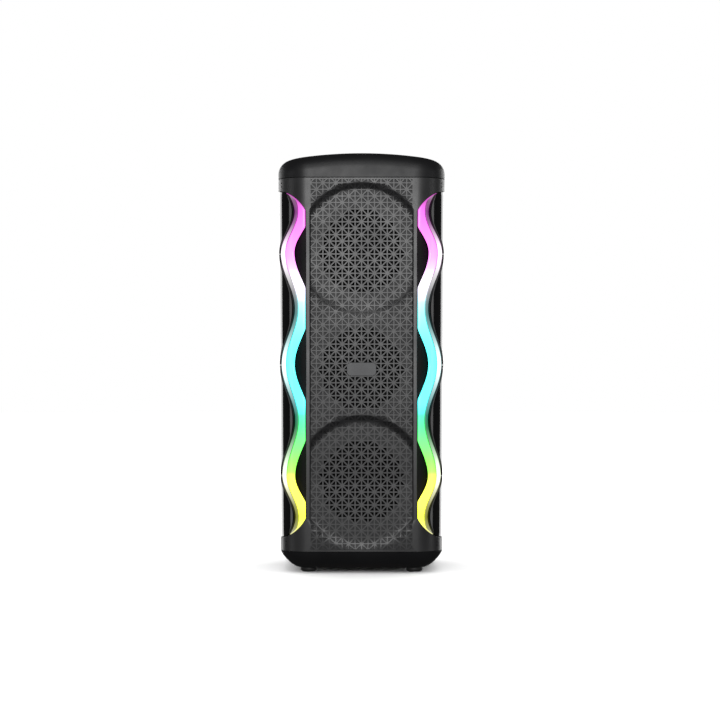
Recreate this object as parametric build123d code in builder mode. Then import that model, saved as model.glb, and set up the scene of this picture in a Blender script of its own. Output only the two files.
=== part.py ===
from build123d import *

import os
from math import asin, cos, pi, radians, sin, sqrt, tan

# Party speaker: a tall cabinet that stands on four feet, with two woofers and a smaller
# middle driver behind one perforated front, and a wavy light band on each front corner.
# Millimetres, +Z up, front towards -Y, origin on the floor under the middle of the cabinet.

# --- Driving dimensions -------------------------------------------------------------
HEIGHT = 626.0
FOOT_HEIGHT = 7.0
BASE_WIDTH = 242.0
BASE_DEPTH = 236.0
SIDE_TAPER = 0.38  # degrees, the cabinet widens upwards
FRONT_CORNER = 42.0  # plan radii at the underside
REAR_CORNER = 36.0
BOTTOM_SEAM = 32.0
TOP_SEAM = 588.0
SEAM_GAP = 0.6
WALL = 3.0
GAP = 0.3  # between neighbouring covers

CROWN_RADIUS = 650.0  # the top bows from side to side
CAP_DROP = 1.0  # the control panel stands this much above the cap
CAP_ROOF = 7.0
TOP_ROUND = 22.0
BOTTOM_PROFILE = (  # height, and how far the bottom cap's side stands in there
    (7.0, 26.0),
    (7.8, 23.2),
    (10.0, 19.6),
    (13.5, 15.6),
    (19.5, 10.4),
    (25.5, 5.2),
    (29.5, 1.8),
    (32.0, 0.0),
)

PANEL_HALF = 82.3  # half width of the straight grille panel, with its edge rib
GROOVE_HALF = 77.0
RIB_INNER = 79.8
DISH_RADIUS = 97.6
DISH_FLOOR_RADIUS = 91.0
DISH_DEPTH = 6.0
DISH_HEIGHTS = (136.0, 481.4)
HOLE_ZONES = {"lower": 138.2, "middle": 305.0, "upper": 478.1}
HOLE_ZONE_RADIUS = 60.5
PITCH = 9.54  # square grid of the perforation
RIB = 2.5
GRID_HEIGHT = 521.8  # a grid line of the perforation

WAVE_MIDDLE = 310.5
HALF_WAVE = 83.0
END_HALF_WAVE = 60.0
BAND_INNER = (89.0, 12.7)  # mean place of the band's inner edge, and its swing
BAND_OUTER = (111.2, 11.2)
FLARE_START = 226.5  # distances from WAVE_MIDDLE
FLARE_END = 258.5
DIFFUSER = (0.6, 4.6)  # depths below the cabinet's outer surface
LED_CHIPS = (6.6, 8.95)
LED_STRIP = (8.1, 8.8)
LINER = (9.0, 11.5)
CORNER_WALL = (11.8, 14.5)
CABINET_SKIN = (3.3, 6.3)
GRILLE_BACK = -71.9  # where the grille's ends stop on the cabinet's sides
SIDE_PANEL_BACK = 70.0

BAFFLE_FRONT = -94.0
BAFFLE_BACK = -82.0
BAFFLE_HALF = 98.0
DRIVERS = {"upper_woofer": (478.1, 1.0), "middle_driver": (305.0, 0.72), "lower_woofer": (138.2, 1.0)}

TRAY = (150.0, 80.0)
TRAY_FLOOR = 617.5
TRAY_THICKNESS = 2.5
PANEL_SIZE = (188.0, 176.0)
BOARD_TOP = 604.6
BUTTONS = {
    "power_button": (-60.0, 0.0),
    "mode_button": (-38.0, -18.0),
    "light_button": (-38.0, 18.0),
    "previous_button": (38.0, -18.0),
    "next_button": (38.0, 18.0),
    "play_button": (60.0, 0.0),
}

IO_CENTRE = 190.0
IO_SIZE = (130.0, 90.0)
IO_FLOOR = 115.2
IO_FACE = 117.7
GRIP_HEIGHT = 520.0
PORT_HEIGHT = 400.0
FOOT_PLACES = [(x, y) for x in (-79.0, 79.0) for y in (-76.0, 76.0)]

SLOPE = tan(radians(SIDE_TAPER))
CORNER_X = BASE_WIDTH / 2 - FRONT_CORNER
CORNER_Y = FRONT_CORNER - BASE_DEPTH / 2
CORNER_REFERENCE = 44.0  # radius of the front corner at mid height
CORNER_PLANE = Plane((CORNER_X, CORNER_Y, 0), x_dir=(1, 1, 0), z_dir=(1, -1, 0))

os.makedirs("parts", exist_ok=True)


# --- Shared shapes ------------------------------------------------------------------
def half_depth(height):
    """Distance of the front or back surface from the middle plane, at a height."""
    return BASE_DEPTH / 2 + SLOPE * (height - FOOT_HEIGHT)


def outline(height, depth=0.0):
    """Plan of the cabinet at a height, this deep below its outer surface."""
    growth = SLOPE * (height - FOOT_HEIGHT) - depth
    corners = Rectangle(BASE_WIDTH + 2 * growth, BASE_DEPTH + 2 * growth).vertices().group_by(Axis.Y)
    fillet(corners[0], FRONT_CORNER + growth)
    fillet(corners[-1], REAR_CORNER + growth)


def wall(outer, inner, low=BOTTOM_SEAM + SEAM_GAP, high=TOP_SEAM - SEAM_GAP):
    """Ring of cabinet wall between two depths below the outer surface."""
    with BuildPart() as ring:
        with BuildSketch(Plane.XY.offset(low)):
            outline(low, outer)
        extrude(amount=high - low, taper=-SIDE_TAPER)
        with BuildSketch(Plane.XY.offset(low)):
            outline(low, inner)
        extrude(amount=high - low, taper=-SIDE_TAPER, mode=Mode.SUBTRACT)
    return ring.part


def block(x_range, y_range, z_range, mode=Mode.ADD):
    """Box between three pairs of limits."""
    limits = (x_range, y_range, z_range)
    centre = [(low + high) / 2 for low, high in limits]
    with Locations(tuple(centre)):
        Box(*[high - low for low, high in limits], mode=mode)


def wave(height):
    """Sideways swing of the light band: 1 where it bows outward, -1 where it comes inward."""
    distance = abs(height - WAVE_MIDDLE)
    if distance <= 2 * HALF_WAVE:
        return cos(pi * distance / HALF_WAVE)
    return cos(pi * (distance - 2 * HALF_WAVE) / END_HALF_WAVE)


def edge_angle(edge, height):
    """Angle of a band edge about the corner's axis, from straight ahead."""
    mean, swing = edge
    return asin((mean + swing * wave(height) - CORNER_X) / CORNER_REFERENCE)


def middle_angle(height):
    """Angle of the middle of the band as it shows beside the grille panel."""
    hidden = asin((PANEL_HALF - CORNER_X) / CORNER_REFERENCE)
    return (max(edge_angle(BAND_INNER, height), hidden) + edge_angle(BAND_OUTER, height)) / 2


def band_line(angle_at, radius=CORNER_REFERENCE, shift=0.0, step=15.0):
    """Points of a line along the band in the corner plane, from bottom to top."""
    low = BOTTOM_SEAM - step
    count = int((TOP_SEAM + step - low) / step) + 2
    heights = [low + index * step for index in range(count)]
    return [(radius * sin(angle_at(height) - pi / 4) + shift, height) for height in heights]


def corner_band(inner_points, outer_points):
    """Prism through the right front corner between two edges of a band."""
    with BuildPart() as prism:
        with BuildSketch(CORNER_PLANE):
            with BuildLine():
                Spline(*inner_points)
                Spline(*outer_points)
                Line(inner_points[0], outer_points[0])
                Line(inner_points[-1], outer_points[-1])
            make_face()
        extrude(amount=60)
    return prism.part


def channel_opening(gap):
    """Front opening between the grille panel and its flared ends, on the right side."""
    with BuildPart() as opening:
        with BuildSketch(Plane.XZ.offset(60)):
            with BuildLine():
                inner = PANEL_HALF + gap
                start = FLARE_START - gap
                end = FLARE_END - gap
                low, high = WAVE_MIDDLE - start, WAVE_MIDDLE + start
                low_end, high_end = WAVE_MIDDLE - end, WAVE_MIDDLE + end
                Line((inner, low), (inner, high))
                ThreePointArc((inner, high), (97.5, high + 19.5), (120.0, high_end))
                Polyline((120.0, high_end), (135.0, high_end), (135.0, low_end), (120.0, low_end))
                ThreePointArc((120.0, low_end), (97.5, low - 19.5), (inner, low))
            make_face()
        extrude(amount=80)
    return opening.part


def screw(centre, direction, head_radius, head_height, shank_radius, shank_length):
    """Pan-head screw whose head rests at the centre and whose shank runs along direction."""
    with BuildPart() as body:
        with BuildSketch(Plane(centre, z_dir=direction)):
            Circle(shank_radius)
        extrude(amount=shank_length)
        with BuildSketch(Plane(centre, z_dir=direction)):
            Circle(head_radius)
        extrude(amount=-head_height)
        rim = body.edges().filter_by(GeomType.CIRCLE).sort_by(SortBy.RADIUS)[-2:]
        chamfer(rim.sort_by(Axis(centre, direction))[0], head_height * 0.35)
        with BuildSketch(Plane(centre, z_dir=direction).offset(-head_height)):
            Rectangle(head_radius * 1.1, head_radius * 0.22)
            Rectangle(head_radius * 0.22, head_radius * 1.1)
        extrude(amount=head_height * 0.5, mode=Mode.SUBTRACT)
    return body.part


def mirrored(piece):
    """The left-hand twin of a right-hand piece."""
    with BuildPart() as left:
        add(mirror(piece, about=Plane.YZ))
    return left.part


def save_sides(piece, name):
    """Write a right-hand piece and its mirror image as two nodes."""
    for side, solid in (("right", piece), ("left", mirrored(piece))):
        solid.label = f"{name}_{side}"
        export_step(solid, f"parts/{name}_{side}.step")


# --- Front grille -------------------------------------------------------------------
def perforation(centre_height):
    """Places of the triangular holes of a round zone, sorted by the way they point."""
    inset = RIB / 2
    leg = PITCH - inset * (2 + sqrt(2))
    turned = {(1, 1): [], (-1, -1): [], (-1, 1): [], (1, -1): []}
    reach = int(HOLE_ZONE_RADIUS / PITCH) + 2
    middle_row = round((centre_height - GRID_HEIGHT) / PITCH)
    for column in range(-reach, reach):
        for row in range(middle_row - reach, middle_row + reach):
            rising = (column + row) % 2 == 0
            for signs in ((-1, 1), (1, -1)) if rising else ((1, 1), (-1, -1)):
                corner_x = (column + (1 if signs[0] < 0 else 0)) * PITCH + signs[0] * inset
                corner_z = GRID_HEIGHT + (row + (1 if signs[1] < 0 else 0)) * PITCH + signs[1] * inset
                middle = (corner_x + signs[0] * leg / 3, corner_z + signs[1] * leg / 3 - centre_height)
                if sqrt(middle[0] ** 2 + middle[1] ** 2) < HOLE_ZONE_RADIUS - leg * 0.62:
                    turned[signs].append((corner_x, corner_z - centre_height))
    return leg, turned


def perforated_disc(centre_height, front, thickness):
    """Round zone of the grille with its triangular through holes."""
    leg, turned = perforation(centre_height)
    with BuildPart() as disc:
        with BuildSketch(Plane((0, front, centre_height), x_dir=(1, 0, 0), z_dir=(0, -1, 0))):
            Circle(HOLE_ZONE_RADIUS)
            for (sign_x, sign_z), places in turned.items():
                with Locations(places):
                    Polygon((0, 0), (sign_x * leg, 0), (0, sign_z * leg), align=None, mode=Mode.SUBTRACT)
        extrude(amount=-thickness)
    return disc.part


grille_skin = wall(0, WALL)
grille_lip = wall(0, LINER[1])
opening_right = channel_opening(0)
dish_fronts = {height: -half_depth(height) for height in DISH_HEIGHTS}
zone_fronts = {
    "lower": dish_fronts[DISH_HEIGHTS[0]] + DISH_DEPTH,
    "middle": -half_depth(HOLE_ZONES["middle"]) + 0.4,
    "upper": dish_fronts[DISH_HEIGHTS[1]] + DISH_DEPTH,
}
discs = [perforated_disc(HOLE_ZONES[name], zone_fronts[name], WALL) for name in HOLE_ZONES]

with BuildPart() as dish_backs:
    for height, front in dish_fronts.items():
        with BuildSketch(Plane.XZ.offset(-front - DISH_DEPTH - WALL)):
            with Locations((0, height)):
                Circle(DISH_RADIUS + 1.5)
            with Locations((0, height)):
                Rectangle(2 * RIB_INNER, 3 * DISH_RADIUS, mode=Mode.INTERSECT)
        extrude(amount=DISH_DEPTH + WALL - 1)

with BuildPart() as dish_hollows:
    for height, front in dish_fronts.items():
        with BuildSketch(Plane.XZ.offset(-front - DISH_DEPTH)):
            with Locations((0, height)):
                Circle(DISH_FLOOR_RADIUS)
        with BuildSketch(Plane.XZ.offset(-front + 1)):
            with Locations((0, height)):
                Circle(DISH_RADIUS + 1.1)
        loft()
    block((-GROOVE_HALF, GROOVE_HALF), (-130, -100), (0, HEIGHT), mode=Mode.INTERSECT)

with BuildPart() as edge_lips:
    add(grille_lip)
    block((-PANEL_HALF, PANEL_HALF), (-130, -90), (0, HEIGHT), mode=Mode.INTERSECT)
    block((-RIB_INNER, RIB_INNER), (-130, -90), (0, HEIGHT), mode=Mode.SUBTRACT)

with BuildPart() as grooves:
    add(wall(-1, 1))
    block((-GROOVE_HALF - 0.9, GROOVE_HALF + 0.9), (-130, -100),
          (WAVE_MIDDLE - FLARE_START, WAVE_MIDDLE + FLARE_START), mode=Mode.INTERSECT)
    block((-GROOVE_HALF + 0.9, GROOVE_HALF - 0.9), (-130, -100), (0, HEIGHT), mode=Mode.SUBTRACT)

with BuildPart() as front_grille:
    add(grille_skin)
    block((-130, 130), (GRILLE_BACK, 130), (0, HEIGHT), mode=Mode.SUBTRACT)
    add(opening_right, mode=Mode.SUBTRACT)
    add(mirror(opening_right, about=Plane.YZ), mode=Mode.SUBTRACT)
    add(dish_backs.part)
    add(edge_lips.part)
    add(dish_hollows.part, mode=Mode.SUBTRACT)
    add(grooves.part, mode=Mode.SUBTRACT)
    for height in HOLE_ZONES.values():
        with BuildSketch(Plane.XZ.offset(100)):
            with Locations((0, height)):
                Circle(HOLE_ZONE_RADIUS)
        extrude(amount=40, mode=Mode.SUBTRACT)
    for disc in discs:
        add(disc)
front_grille.part.label = "front_grille"
export_step(front_grille.part, "parts/front_grille.step")

with BuildPart() as badge_plate:
    with BuildSketch(Plane((0, zone_fronts["middle"], 303.4), x_dir=(1, 0, 0), z_dir=(0, -1, 0))):
        RectangleRounded(43.5, 20.0, 6.0)
    extrude(amount=1.6)
    chamfer(badge_plate.faces().sort_by(Axis.Y)[0].edges(), 0.5)
badge_plate.part.label = "badge_plate"
export_step(badge_plate.part, "parts/badge_plate.step")

with BuildPart() as grille_cloths:
    for name, height in HOLE_ZONES.items():
        with BuildSketch(Plane((0, zone_fronts[name] + WALL + 0.2, height), x_dir=(1, 0, 0), z_dir=(0, -1, 0))):
            Circle(HOLE_ZONE_RADIUS + 4)
        extrude(amount=-0.6)
grille_cloths.part.label = "grille_cloths"
export_step(grille_cloths.part, "parts/grille_cloths.step")


# --- Light bands and side panels ----------------------------------------------------
band_opening = channel_opening(0.6)
panel_opening = channel_opening(GAP)
inner_edge = band_line(lambda height: edge_angle(BAND_INNER, height))
outer_edge = band_line(lambda height: edge_angle(BAND_OUTER, height))

diffuser_skin = wall(*DIFFUSER)
with BuildPart() as wave_diffuser:
    add(corner_band(inner_edge, outer_edge))
    add(diffuser_skin, mode=Mode.INTERSECT)
    add(band_opening, mode=Mode.INTERSECT)
save_sides(wave_diffuser.part, "wave_diffuser")

strip_skin = wall(*LED_STRIP)
chip_skin = wall(*LED_CHIPS)
strip_low = WAVE_MIDDLE - FLARE_START + 10
strip_high = WAVE_MIDDLE + FLARE_START - 10
STRIP_HALF = 4.0
STRIP_RADIUS = CORNER_REFERENCE - LED_STRIP[0]
strip_edges = [band_line(middle_angle, STRIP_RADIUS, shift) for shift in (-STRIP_HALF, STRIP_HALF)]
CHIP_COUNT = 28
CHIP_SIZE = 5.0
CHIP_STEP = (strip_high - strip_low - 12) / (CHIP_COUNT - 1)

with BuildPart() as chips:
    for index in range(CHIP_COUNT):
        height = strip_low + 6 + index * CHIP_STEP
        u = STRIP_RADIUS * sin(middle_angle(height) - pi / 4)
        with BuildSketch(CORNER_PLANE):
            with Locations((u, height)):
                Rectangle(CHIP_SIZE, CHIP_SIZE)
        extrude(amount=60)
    add(chip_skin, mode=Mode.INTERSECT)

with BuildPart() as led_strip:
    add(corner_band(*strip_edges))
    add(strip_skin, mode=Mode.INTERSECT)
    block((83.0, 130), (-130, -70), (strip_low, strip_high), mode=Mode.INTERSECT)
    add(chips.part)
with BuildPart() as led_strips:
    add(led_strip.part)
    add(mirrored(led_strip.part))
led_strips.part.label = "led_strips"
export_step(led_strips.part, "parts/led_strips.step")

with BuildPart() as light_liner:
    add(wall(*LINER))
    block((PANEL_HALF + GAP, 130), (-130, GRILLE_BACK - GAP), (44, 577), mode=Mode.INTERSECT)
with BuildPart() as light_liners:
    add(light_liner.part)
    add(mirrored(light_liner.part))
light_liners.part.label = "light_liners"
export_step(light_liners.part, "parts/light_liners.step")

with BuildPart() as panel_limits:
    add(panel_opening)
    block((60, 140), (GRILLE_BACK + GAP, SIDE_PANEL_BACK), (0, HEIGHT))
panel_edge = [(u + 0.8, height) for u, height in outer_edge]
panel_far = [(140.0, height) for _, height in panel_edge]
with BuildPart() as panel_prism:
    with BuildSketch(CORNER_PLANE.offset(-90)):
        with BuildLine():
            Spline(*panel_edge)
            Polyline(panel_edge[-1], panel_far[-1], panel_far[0], panel_edge[0])
        make_face()
    extrude(amount=150)
with BuildPart() as side_panel:
    add(grille_skin)
    add(panel_limits.part, mode=Mode.INTERSECT)
    add(panel_prism.part, mode=Mode.INTERSECT)
save_sides(side_panel.part, "side_panel")


# --- Cabinet ------------------------------------------------------------------------
BAFFLE_SCREWS = [(x, z) for x in (-94.5, 94.5) for z in (62.0, 222.0, 392.0, 560.0)]
SCREW_HOLE = 2.1
SHELL_LAP = 5.0  # the rear cabinet overlaps the frame's side walls by this much

with BuildPart() as side_walls:
    add(wall(*CABINET_SKIN))
    block((-130, 130), (GRILLE_BACK + GAP, SIDE_PANEL_BACK + SHELL_LAP), (0, HEIGHT), mode=Mode.INTERSECT)
with BuildPart() as wall_steps:
    add(wall(CABINET_SKIN[0], CORNER_WALL[1]))
    block((-130, 130), (GRILLE_BACK + GAP, -68), (0, HEIGHT), mode=Mode.INTERSECT)
with BuildPart() as corner_walls:
    add(wall(*CORNER_WALL))
    block((-130, 130), (-130, -68), (0, HEIGHT), mode=Mode.INTERSECT)
    block((-PANEL_HALF - GAP, PANEL_HALF + GAP), (-130, -60), (0, HEIGHT), mode=Mode.SUBTRACT)
with BuildPart() as baffle_ledges:
    add(wall(CORNER_WALL[0], 30))
    block((-130, 130), (BAFFLE_BACK, BAFFLE_BACK + 3.5), (40, 580), mode=Mode.INTERSECT)

with BuildPart() as cabinet_frame:
    add(side_walls.part)
    add(wall_steps.part)
    add(corner_walls.part)
    add(baffle_ledges.part)
    with BuildSketch(Plane.XZ.offset(-BAFFLE_BACK)):
        with Locations(BAFFLE_SCREWS):
            Circle(SCREW_HOLE)
    extrude(amount=-5, mode=Mode.SUBTRACT)
cabinet_frame.part.label = "cabinet_frame"
export_step(cabinet_frame.part, "parts/cabinet_frame.step")

with BuildPart() as rear_shell:
    add(wall(0, CABINET_SKIN[1]))
    block((-130, 130), (SIDE_PANEL_BACK + SHELL_LAP + GAP, 130), (0, HEIGHT), mode=Mode.INTERSECT)
with BuildPart() as rear_lap:
    add(wall(0, CABINET_SKIN[0] - GAP))
    block((-130, 130), (SIDE_PANEL_BACK + GAP, SIDE_PANEL_BACK + SHELL_LAP + 2 * GAP), (0, HEIGHT),
          mode=Mode.INTERSECT)

IO_SCREWS = [(x, IO_CENTRE + z) for x in (-60.0, 60.0) for z in (-40.0, 40.0)]
GRIP_SIZE = (124.0, 36.0)
GRIP_DEPTH = 30.0
GRIP_WALL = 3.0
PORT_INNER = 28.0
PORT_WALL = 3.0
PORT_FLANGE = 41.0
PORT_LENGTH = 92.0
port_face = half_depth(PORT_HEIGHT) - 0.8
grip_face = half_depth(GRIP_HEIGHT)

with BuildPart() as rear_cabinet:
    add(rear_shell.part)
    add(rear_lap.part)
    with BuildSketch(Plane.XZ.offset(-grip_face + GRIP_DEPTH + GRIP_WALL)):
        with Locations((0, GRIP_HEIGHT)):
            RectangleRounded(GRIP_SIZE[0] + 2 * GRIP_WALL, GRIP_SIZE[1] + 2 * GRIP_WALL, 15)
    extrude(amount=-GRIP_DEPTH)
    with BuildSketch(Plane.XZ.offset(-grip_face + GRIP_DEPTH)):
        with Locations((0, GRIP_HEIGHT)):
            RectangleRounded(GRIP_SIZE[0], GRIP_SIZE[1], 12)
    extrude(amount=-GRIP_DEPTH - 5, mode=Mode.SUBTRACT)
    with BuildSketch(Plane.XZ.offset(-IO_FLOOR)):
        with Locations((0, IO_CENTRE)):
            RectangleRounded(IO_SIZE[0] + 2 * GAP, IO_SIZE[1] + 2 * GAP, 8)
    extrude(amount=-10, mode=Mode.SUBTRACT)
    block((-54, 54), (100, 125), (IO_CENTRE - 34, IO_CENTRE + 34), mode=Mode.SUBTRACT)
    with BuildSketch(Plane.XZ.offset(-port_face + 3)):
        with Locations((0, PORT_HEIGHT)):
            Circle(PORT_FLANGE + GAP)
    extrude(amount=-10, mode=Mode.SUBTRACT)
    with BuildSketch(Plane.XZ.offset(-100)):
        with Locations((0, PORT_HEIGHT)):
            Circle(PORT_INNER + PORT_WALL + GAP)
    extrude(amount=-25, mode=Mode.SUBTRACT)
    with BuildSketch(Plane.XZ.offset(-IO_FLOOR)):
        with Locations(IO_SCREWS):
            Circle(1.7)
    extrude(amount=5, mode=Mode.SUBTRACT)
rear_cabinet.part.label = "rear_cabinet"
export_step(rear_cabinet.part, "parts/rear_cabinet.step")

with BuildPart() as front_baffle:
    block((-BAFFLE_HALF, BAFFLE_HALF), (BAFFLE_FRONT, BAFFLE_BACK), (45, 575))
    for centre_height, scale in DRIVERS.values():
        with BuildSketch(Plane.XZ.offset(-BAFFLE_BACK)):
            with Locations((0, centre_height)):
                Circle(74 * scale)
            with Locations((0, centre_height)):
                with PolarLocations(77.5 * scale, 4, start_angle=45):
                    Circle(SCREW_HOLE)
        extrude(amount=20, mode=Mode.SUBTRACT)
    with BuildSketch(Plane.XZ.offset(-BAFFLE_BACK)):
        with Locations(BAFFLE_SCREWS):
            Circle(SCREW_HOLE)
    extrude(amount=20, mode=Mode.SUBTRACT)
front_baffle.part.label = "front_baffle"
export_step(front_baffle.part, "parts/front_baffle.step")

CAP_TOP = HEIGHT - CAP_DROP


def crown(radius, mode):
    """Round bar along Y whose upper side is the bowed top of the cabinet."""
    with Locations((0, 0, HEIGHT - CROWN_RADIUS)):
        Cylinder(radius, 400, rotation=(90, 0, 0), mode=mode)


def cap_body(depth, roof, corner):
    """Solid top of the cabinet above its seam, below the outer surface by these depths."""
    with BuildPart() as body:
        with BuildSketch(Plane.XY.offset(TOP_SEAM)):
            outline(TOP_SEAM, depth)
        extrude(amount=HEIGHT - TOP_SEAM + 5, taper=-SIDE_TAPER)
        crown(CROWN_RADIUS - CAP_DROP - roof, Mode.INTERSECT)
        fillet(body.faces().sort_by(Axis.Z)[-1].edges(), corner)
    return body.part


def plate_prism(grow, low=595.0, high=HEIGHT + 10):
    """Upright prism over the control panel's outline, larger by grow on each side."""
    with BuildPart() as prism:
        with BuildSketch(Plane.XY.offset(low)):
            RectangleRounded(PANEL_SIZE[0] + 2 * grow, PANEL_SIZE[1] + 2 * grow, 24 + grow)
        extrude(amount=high - low)
    return prism.part


with BuildPart() as plate_seat:
    add(plate_prism(GAP))
    crown(CROWN_RADIUS - WALL - GAP, Mode.SUBTRACT)
cap_hollow = cap_body(WALL, CAP_ROOF - WALL, TOP_ROUND - WALL)
with BuildPart() as top_cap:
    add(cap_body(0, 0, TOP_ROUND))
    add(cap_hollow, mode=Mode.SUBTRACT)
    add(plate_seat.part, mode=Mode.SUBTRACT)
    add(plate_prism(-8), mode=Mode.SUBTRACT)
    chamfer(top_cap.edges().group_by(Axis.Z)[0].sort_by(SortBy.LENGTH)[-1], 0.3)
top_cap.part.label = "top_cap"
export_step(top_cap.part, "parts/top_cap.step")

BUTTON_RADIUS = 7.0
BUTTON_CLEARANCE = 0.35
DIAL_RADIUS = 22.0
SHAFT_RADIUS = 3.0
with BuildPart() as control_panel:
    add(plate_prism(0))
    crown(CROWN_RADIUS, Mode.INTERSECT)
    crown(CROWN_RADIUS - WALL, Mode.SUBTRACT)
    with BuildSketch(Plane.XY.offset(TRAY_FLOOR - TRAY_THICKNESS)):
        RectangleRounded(TRAY[0] + 2 * TRAY_THICKNESS, TRAY[1] + 2 * TRAY_THICKNESS, 16)
    extrude(amount=6.5)
    with BuildSketch(Plane.XY.offset(TRAY_FLOOR)):
        RectangleRounded(TRAY[0], TRAY[1], 14)
    extrude(amount=20, mode=Mode.SUBTRACT)
    with Locations([(x, y, (BOARD_TOP + TRAY_FLOOR - 1) / 2) for x in (-70, 70) for y in (-34, 34)]):
        Cylinder(3, TRAY_FLOOR - 1 - BOARD_TOP)
    with Locations([(x, y, TRAY_FLOOR) for x, y in BUTTONS.values()]):
        Cylinder(BUTTON_RADIUS + BUTTON_CLEARANCE, 10, mode=Mode.SUBTRACT)
    with Locations((0, 0, TRAY_FLOOR)):
        Cylinder(SHAFT_RADIUS + 0.5, 10, mode=Mode.SUBTRACT)
control_panel.part.label = "control_panel"
export_step(control_panel.part, "parts/control_panel.step")

FLANGE_TOP = TRAY_FLOOR - TRAY_THICKNESS - 0.4
for name, place in BUTTONS.items():
    with BuildPart() as button:
        with BuildSketch(Plane.XY.offset(FLANGE_TOP - 2)):
            with Locations(place):
                Circle(BUTTON_RADIUS + 1.5)
        extrude(amount=2)
        with BuildSketch(Plane.XY.offset(FLANGE_TOP)):
            with Locations(place):
                Circle(BUTTON_RADIUS)
        extrude(amount=TRAY_FLOOR + 3 - FLANGE_TOP)
        fillet(button.faces().sort_by(Axis.Z)[-1].edges(), 1.0)
    button.part.label = name
    export_step(button.part, f"parts/{name}.step")

DIAL_BASE = TRAY_FLOOR + 0.6
DIAL_TOP = 625.3
with BuildPart() as volume_dial:
    with BuildSketch(Plane.XY.offset(DIAL_BASE)):
        Circle(DIAL_RADIUS)
        with PolarLocations(DIAL_RADIUS + 0.4, 40):
            Circle(1.0, mode=Mode.SUBTRACT)
    extrude(amount=DIAL_TOP - DIAL_BASE)
    with BuildSketch(Plane.XY.offset(DIAL_TOP - 1)):
        Circle(DIAL_RADIUS - 5)
    extrude(amount=1, mode=Mode.SUBTRACT)
    with BuildSketch(Plane.XY.offset(DIAL_TOP - 1.6)):
        with Locations((0, DIAL_RADIUS - 4.5)):
            SlotOverall(6, 1.6, rotation=90)
    extrude(amount=2, mode=Mode.SUBTRACT)
    with BuildSketch(Plane.XY.offset(BOARD_TOP + 1.6)):
        Circle(SHAFT_RADIUS)
    extrude(amount=DIAL_BASE - BOARD_TOP - 1.6)
volume_dial.part.label = "volume_dial"
export_step(volume_dial.part, "parts/volume_dial.step")

with BuildPart() as control_board:
    with BuildSketch(Plane.XY.offset(BOARD_TOP - 1.6)):
        RectangleRounded(TRAY[0] + 2, TRAY[1] + 2, 3)
    extrude(amount=1.6)
    with BuildSketch(Plane.XY.offset(BOARD_TOP)):
        with Locations(list(BUTTONS.values())):
            Rectangle(6, 6)
    extrude(amount=FLANGE_TOP - 3.3 - BOARD_TOP)
    with BuildSketch(Plane.XY.offset(BOARD_TOP)):
        Rectangle(14, 14)
    extrude(amount=6)
    with Locations((0, 0, BOARD_TOP + 5)):
        Cylinder(SHAFT_RADIUS + 0.05, 7.2, mode=Mode.SUBTRACT)
control_board.part.label = "control_board"
export_step(control_board.part, "parts/control_board.step")


def cup_inset(height):
    """How far the bottom cap's side stands in from the cabinet's side at a height."""
    for (low, low_inset), (high, high_inset) in zip(BOTTOM_PROFILE, BOTTOM_PROFILE[1:]):
        if height <= high:
            return low_inset + (high_inset - low_inset) * (height - low) / (high - low)
    return 0.0


def cup(depth, floor):
    """Solid bottom of the cabinet below its seam, in by depth and up by floor."""
    heights = [height + floor for height, _ in BOTTOM_PROFILE if height + floor < BOTTOM_SEAM]
    heights.append(BOTTOM_SEAM)
    with BuildPart() as body:
        for low, high in zip(heights, heights[1:]):
            for height in (low, high):
                with BuildSketch(Plane.XY.offset(height)):
                    outline(height, depth + cup_inset(height - floor))
            loft(ruled=True)
    return body.part


FOOT_RADIUS = 12.5
FOOT_SEAT = 1.2
FOOT_SCREW_SEAT = 4.0
with BuildPart() as bottom_cap:
    add(cup(0, 0))
    add(cup(WALL, WALL), mode=Mode.SUBTRACT)
    with BuildSketch(Plane.XY.offset(FOOT_HEIGHT)):
        with Locations(FOOT_PLACES):
            Circle(FOOT_RADIUS + 0.2)
    extrude(amount=FOOT_SEAT, mode=Mode.SUBTRACT)
    with BuildSketch(Plane.XY.offset(FOOT_HEIGHT)):
        with Locations(FOOT_PLACES):
            Circle(SCREW_HOLE)
    extrude(amount=10, mode=Mode.SUBTRACT)
bottom_cap.part.label = "bottom_cap"
export_step(bottom_cap.part, "parts/bottom_cap.step")

with BuildPart() as rubber_feet:
    with BuildSketch():
        with Locations(FOOT_PLACES):
            Circle(FOOT_RADIUS)
    extrude(amount=FOOT_HEIGHT + FOOT_SEAT)
    chamfer(rubber_feet.edges().group_by(Axis.Z)[0], 1.2)
    with BuildSketch():
        with Locations(FOOT_PLACES):
            Circle(5)
    extrude(amount=FOOT_SCREW_SEAT, mode=Mode.SUBTRACT)
    with BuildSketch():
        with Locations(FOOT_PLACES):
            Circle(SCREW_HOLE)
    extrude(amount=10, mode=Mode.SUBTRACT)
rubber_feet.part.label = "rubber_feet"
export_step(rubber_feet.part, "parts/rubber_feet.step")



# --- Drivers ------------------------------------------------------------------------
def ring(points, centre_height, scale):
    """Solid of revolution about a driver's axis; points are (radius, depth behind the baffle front)."""
    with BuildPart() as body:
        with BuildSketch(Plane.XY.offset(centre_height)):
            with BuildLine():
                Polyline([(radius * scale, BAFFLE_FRONT + depth * scale) for radius, depth in points], close=True)
            make_face()
        revolve(axis=Axis((0, 0, centre_height), (0, 1, 0)))
    return body.part


SURROUND_INNER = 58.4
SURROUND_ROLL = 5.2


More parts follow.
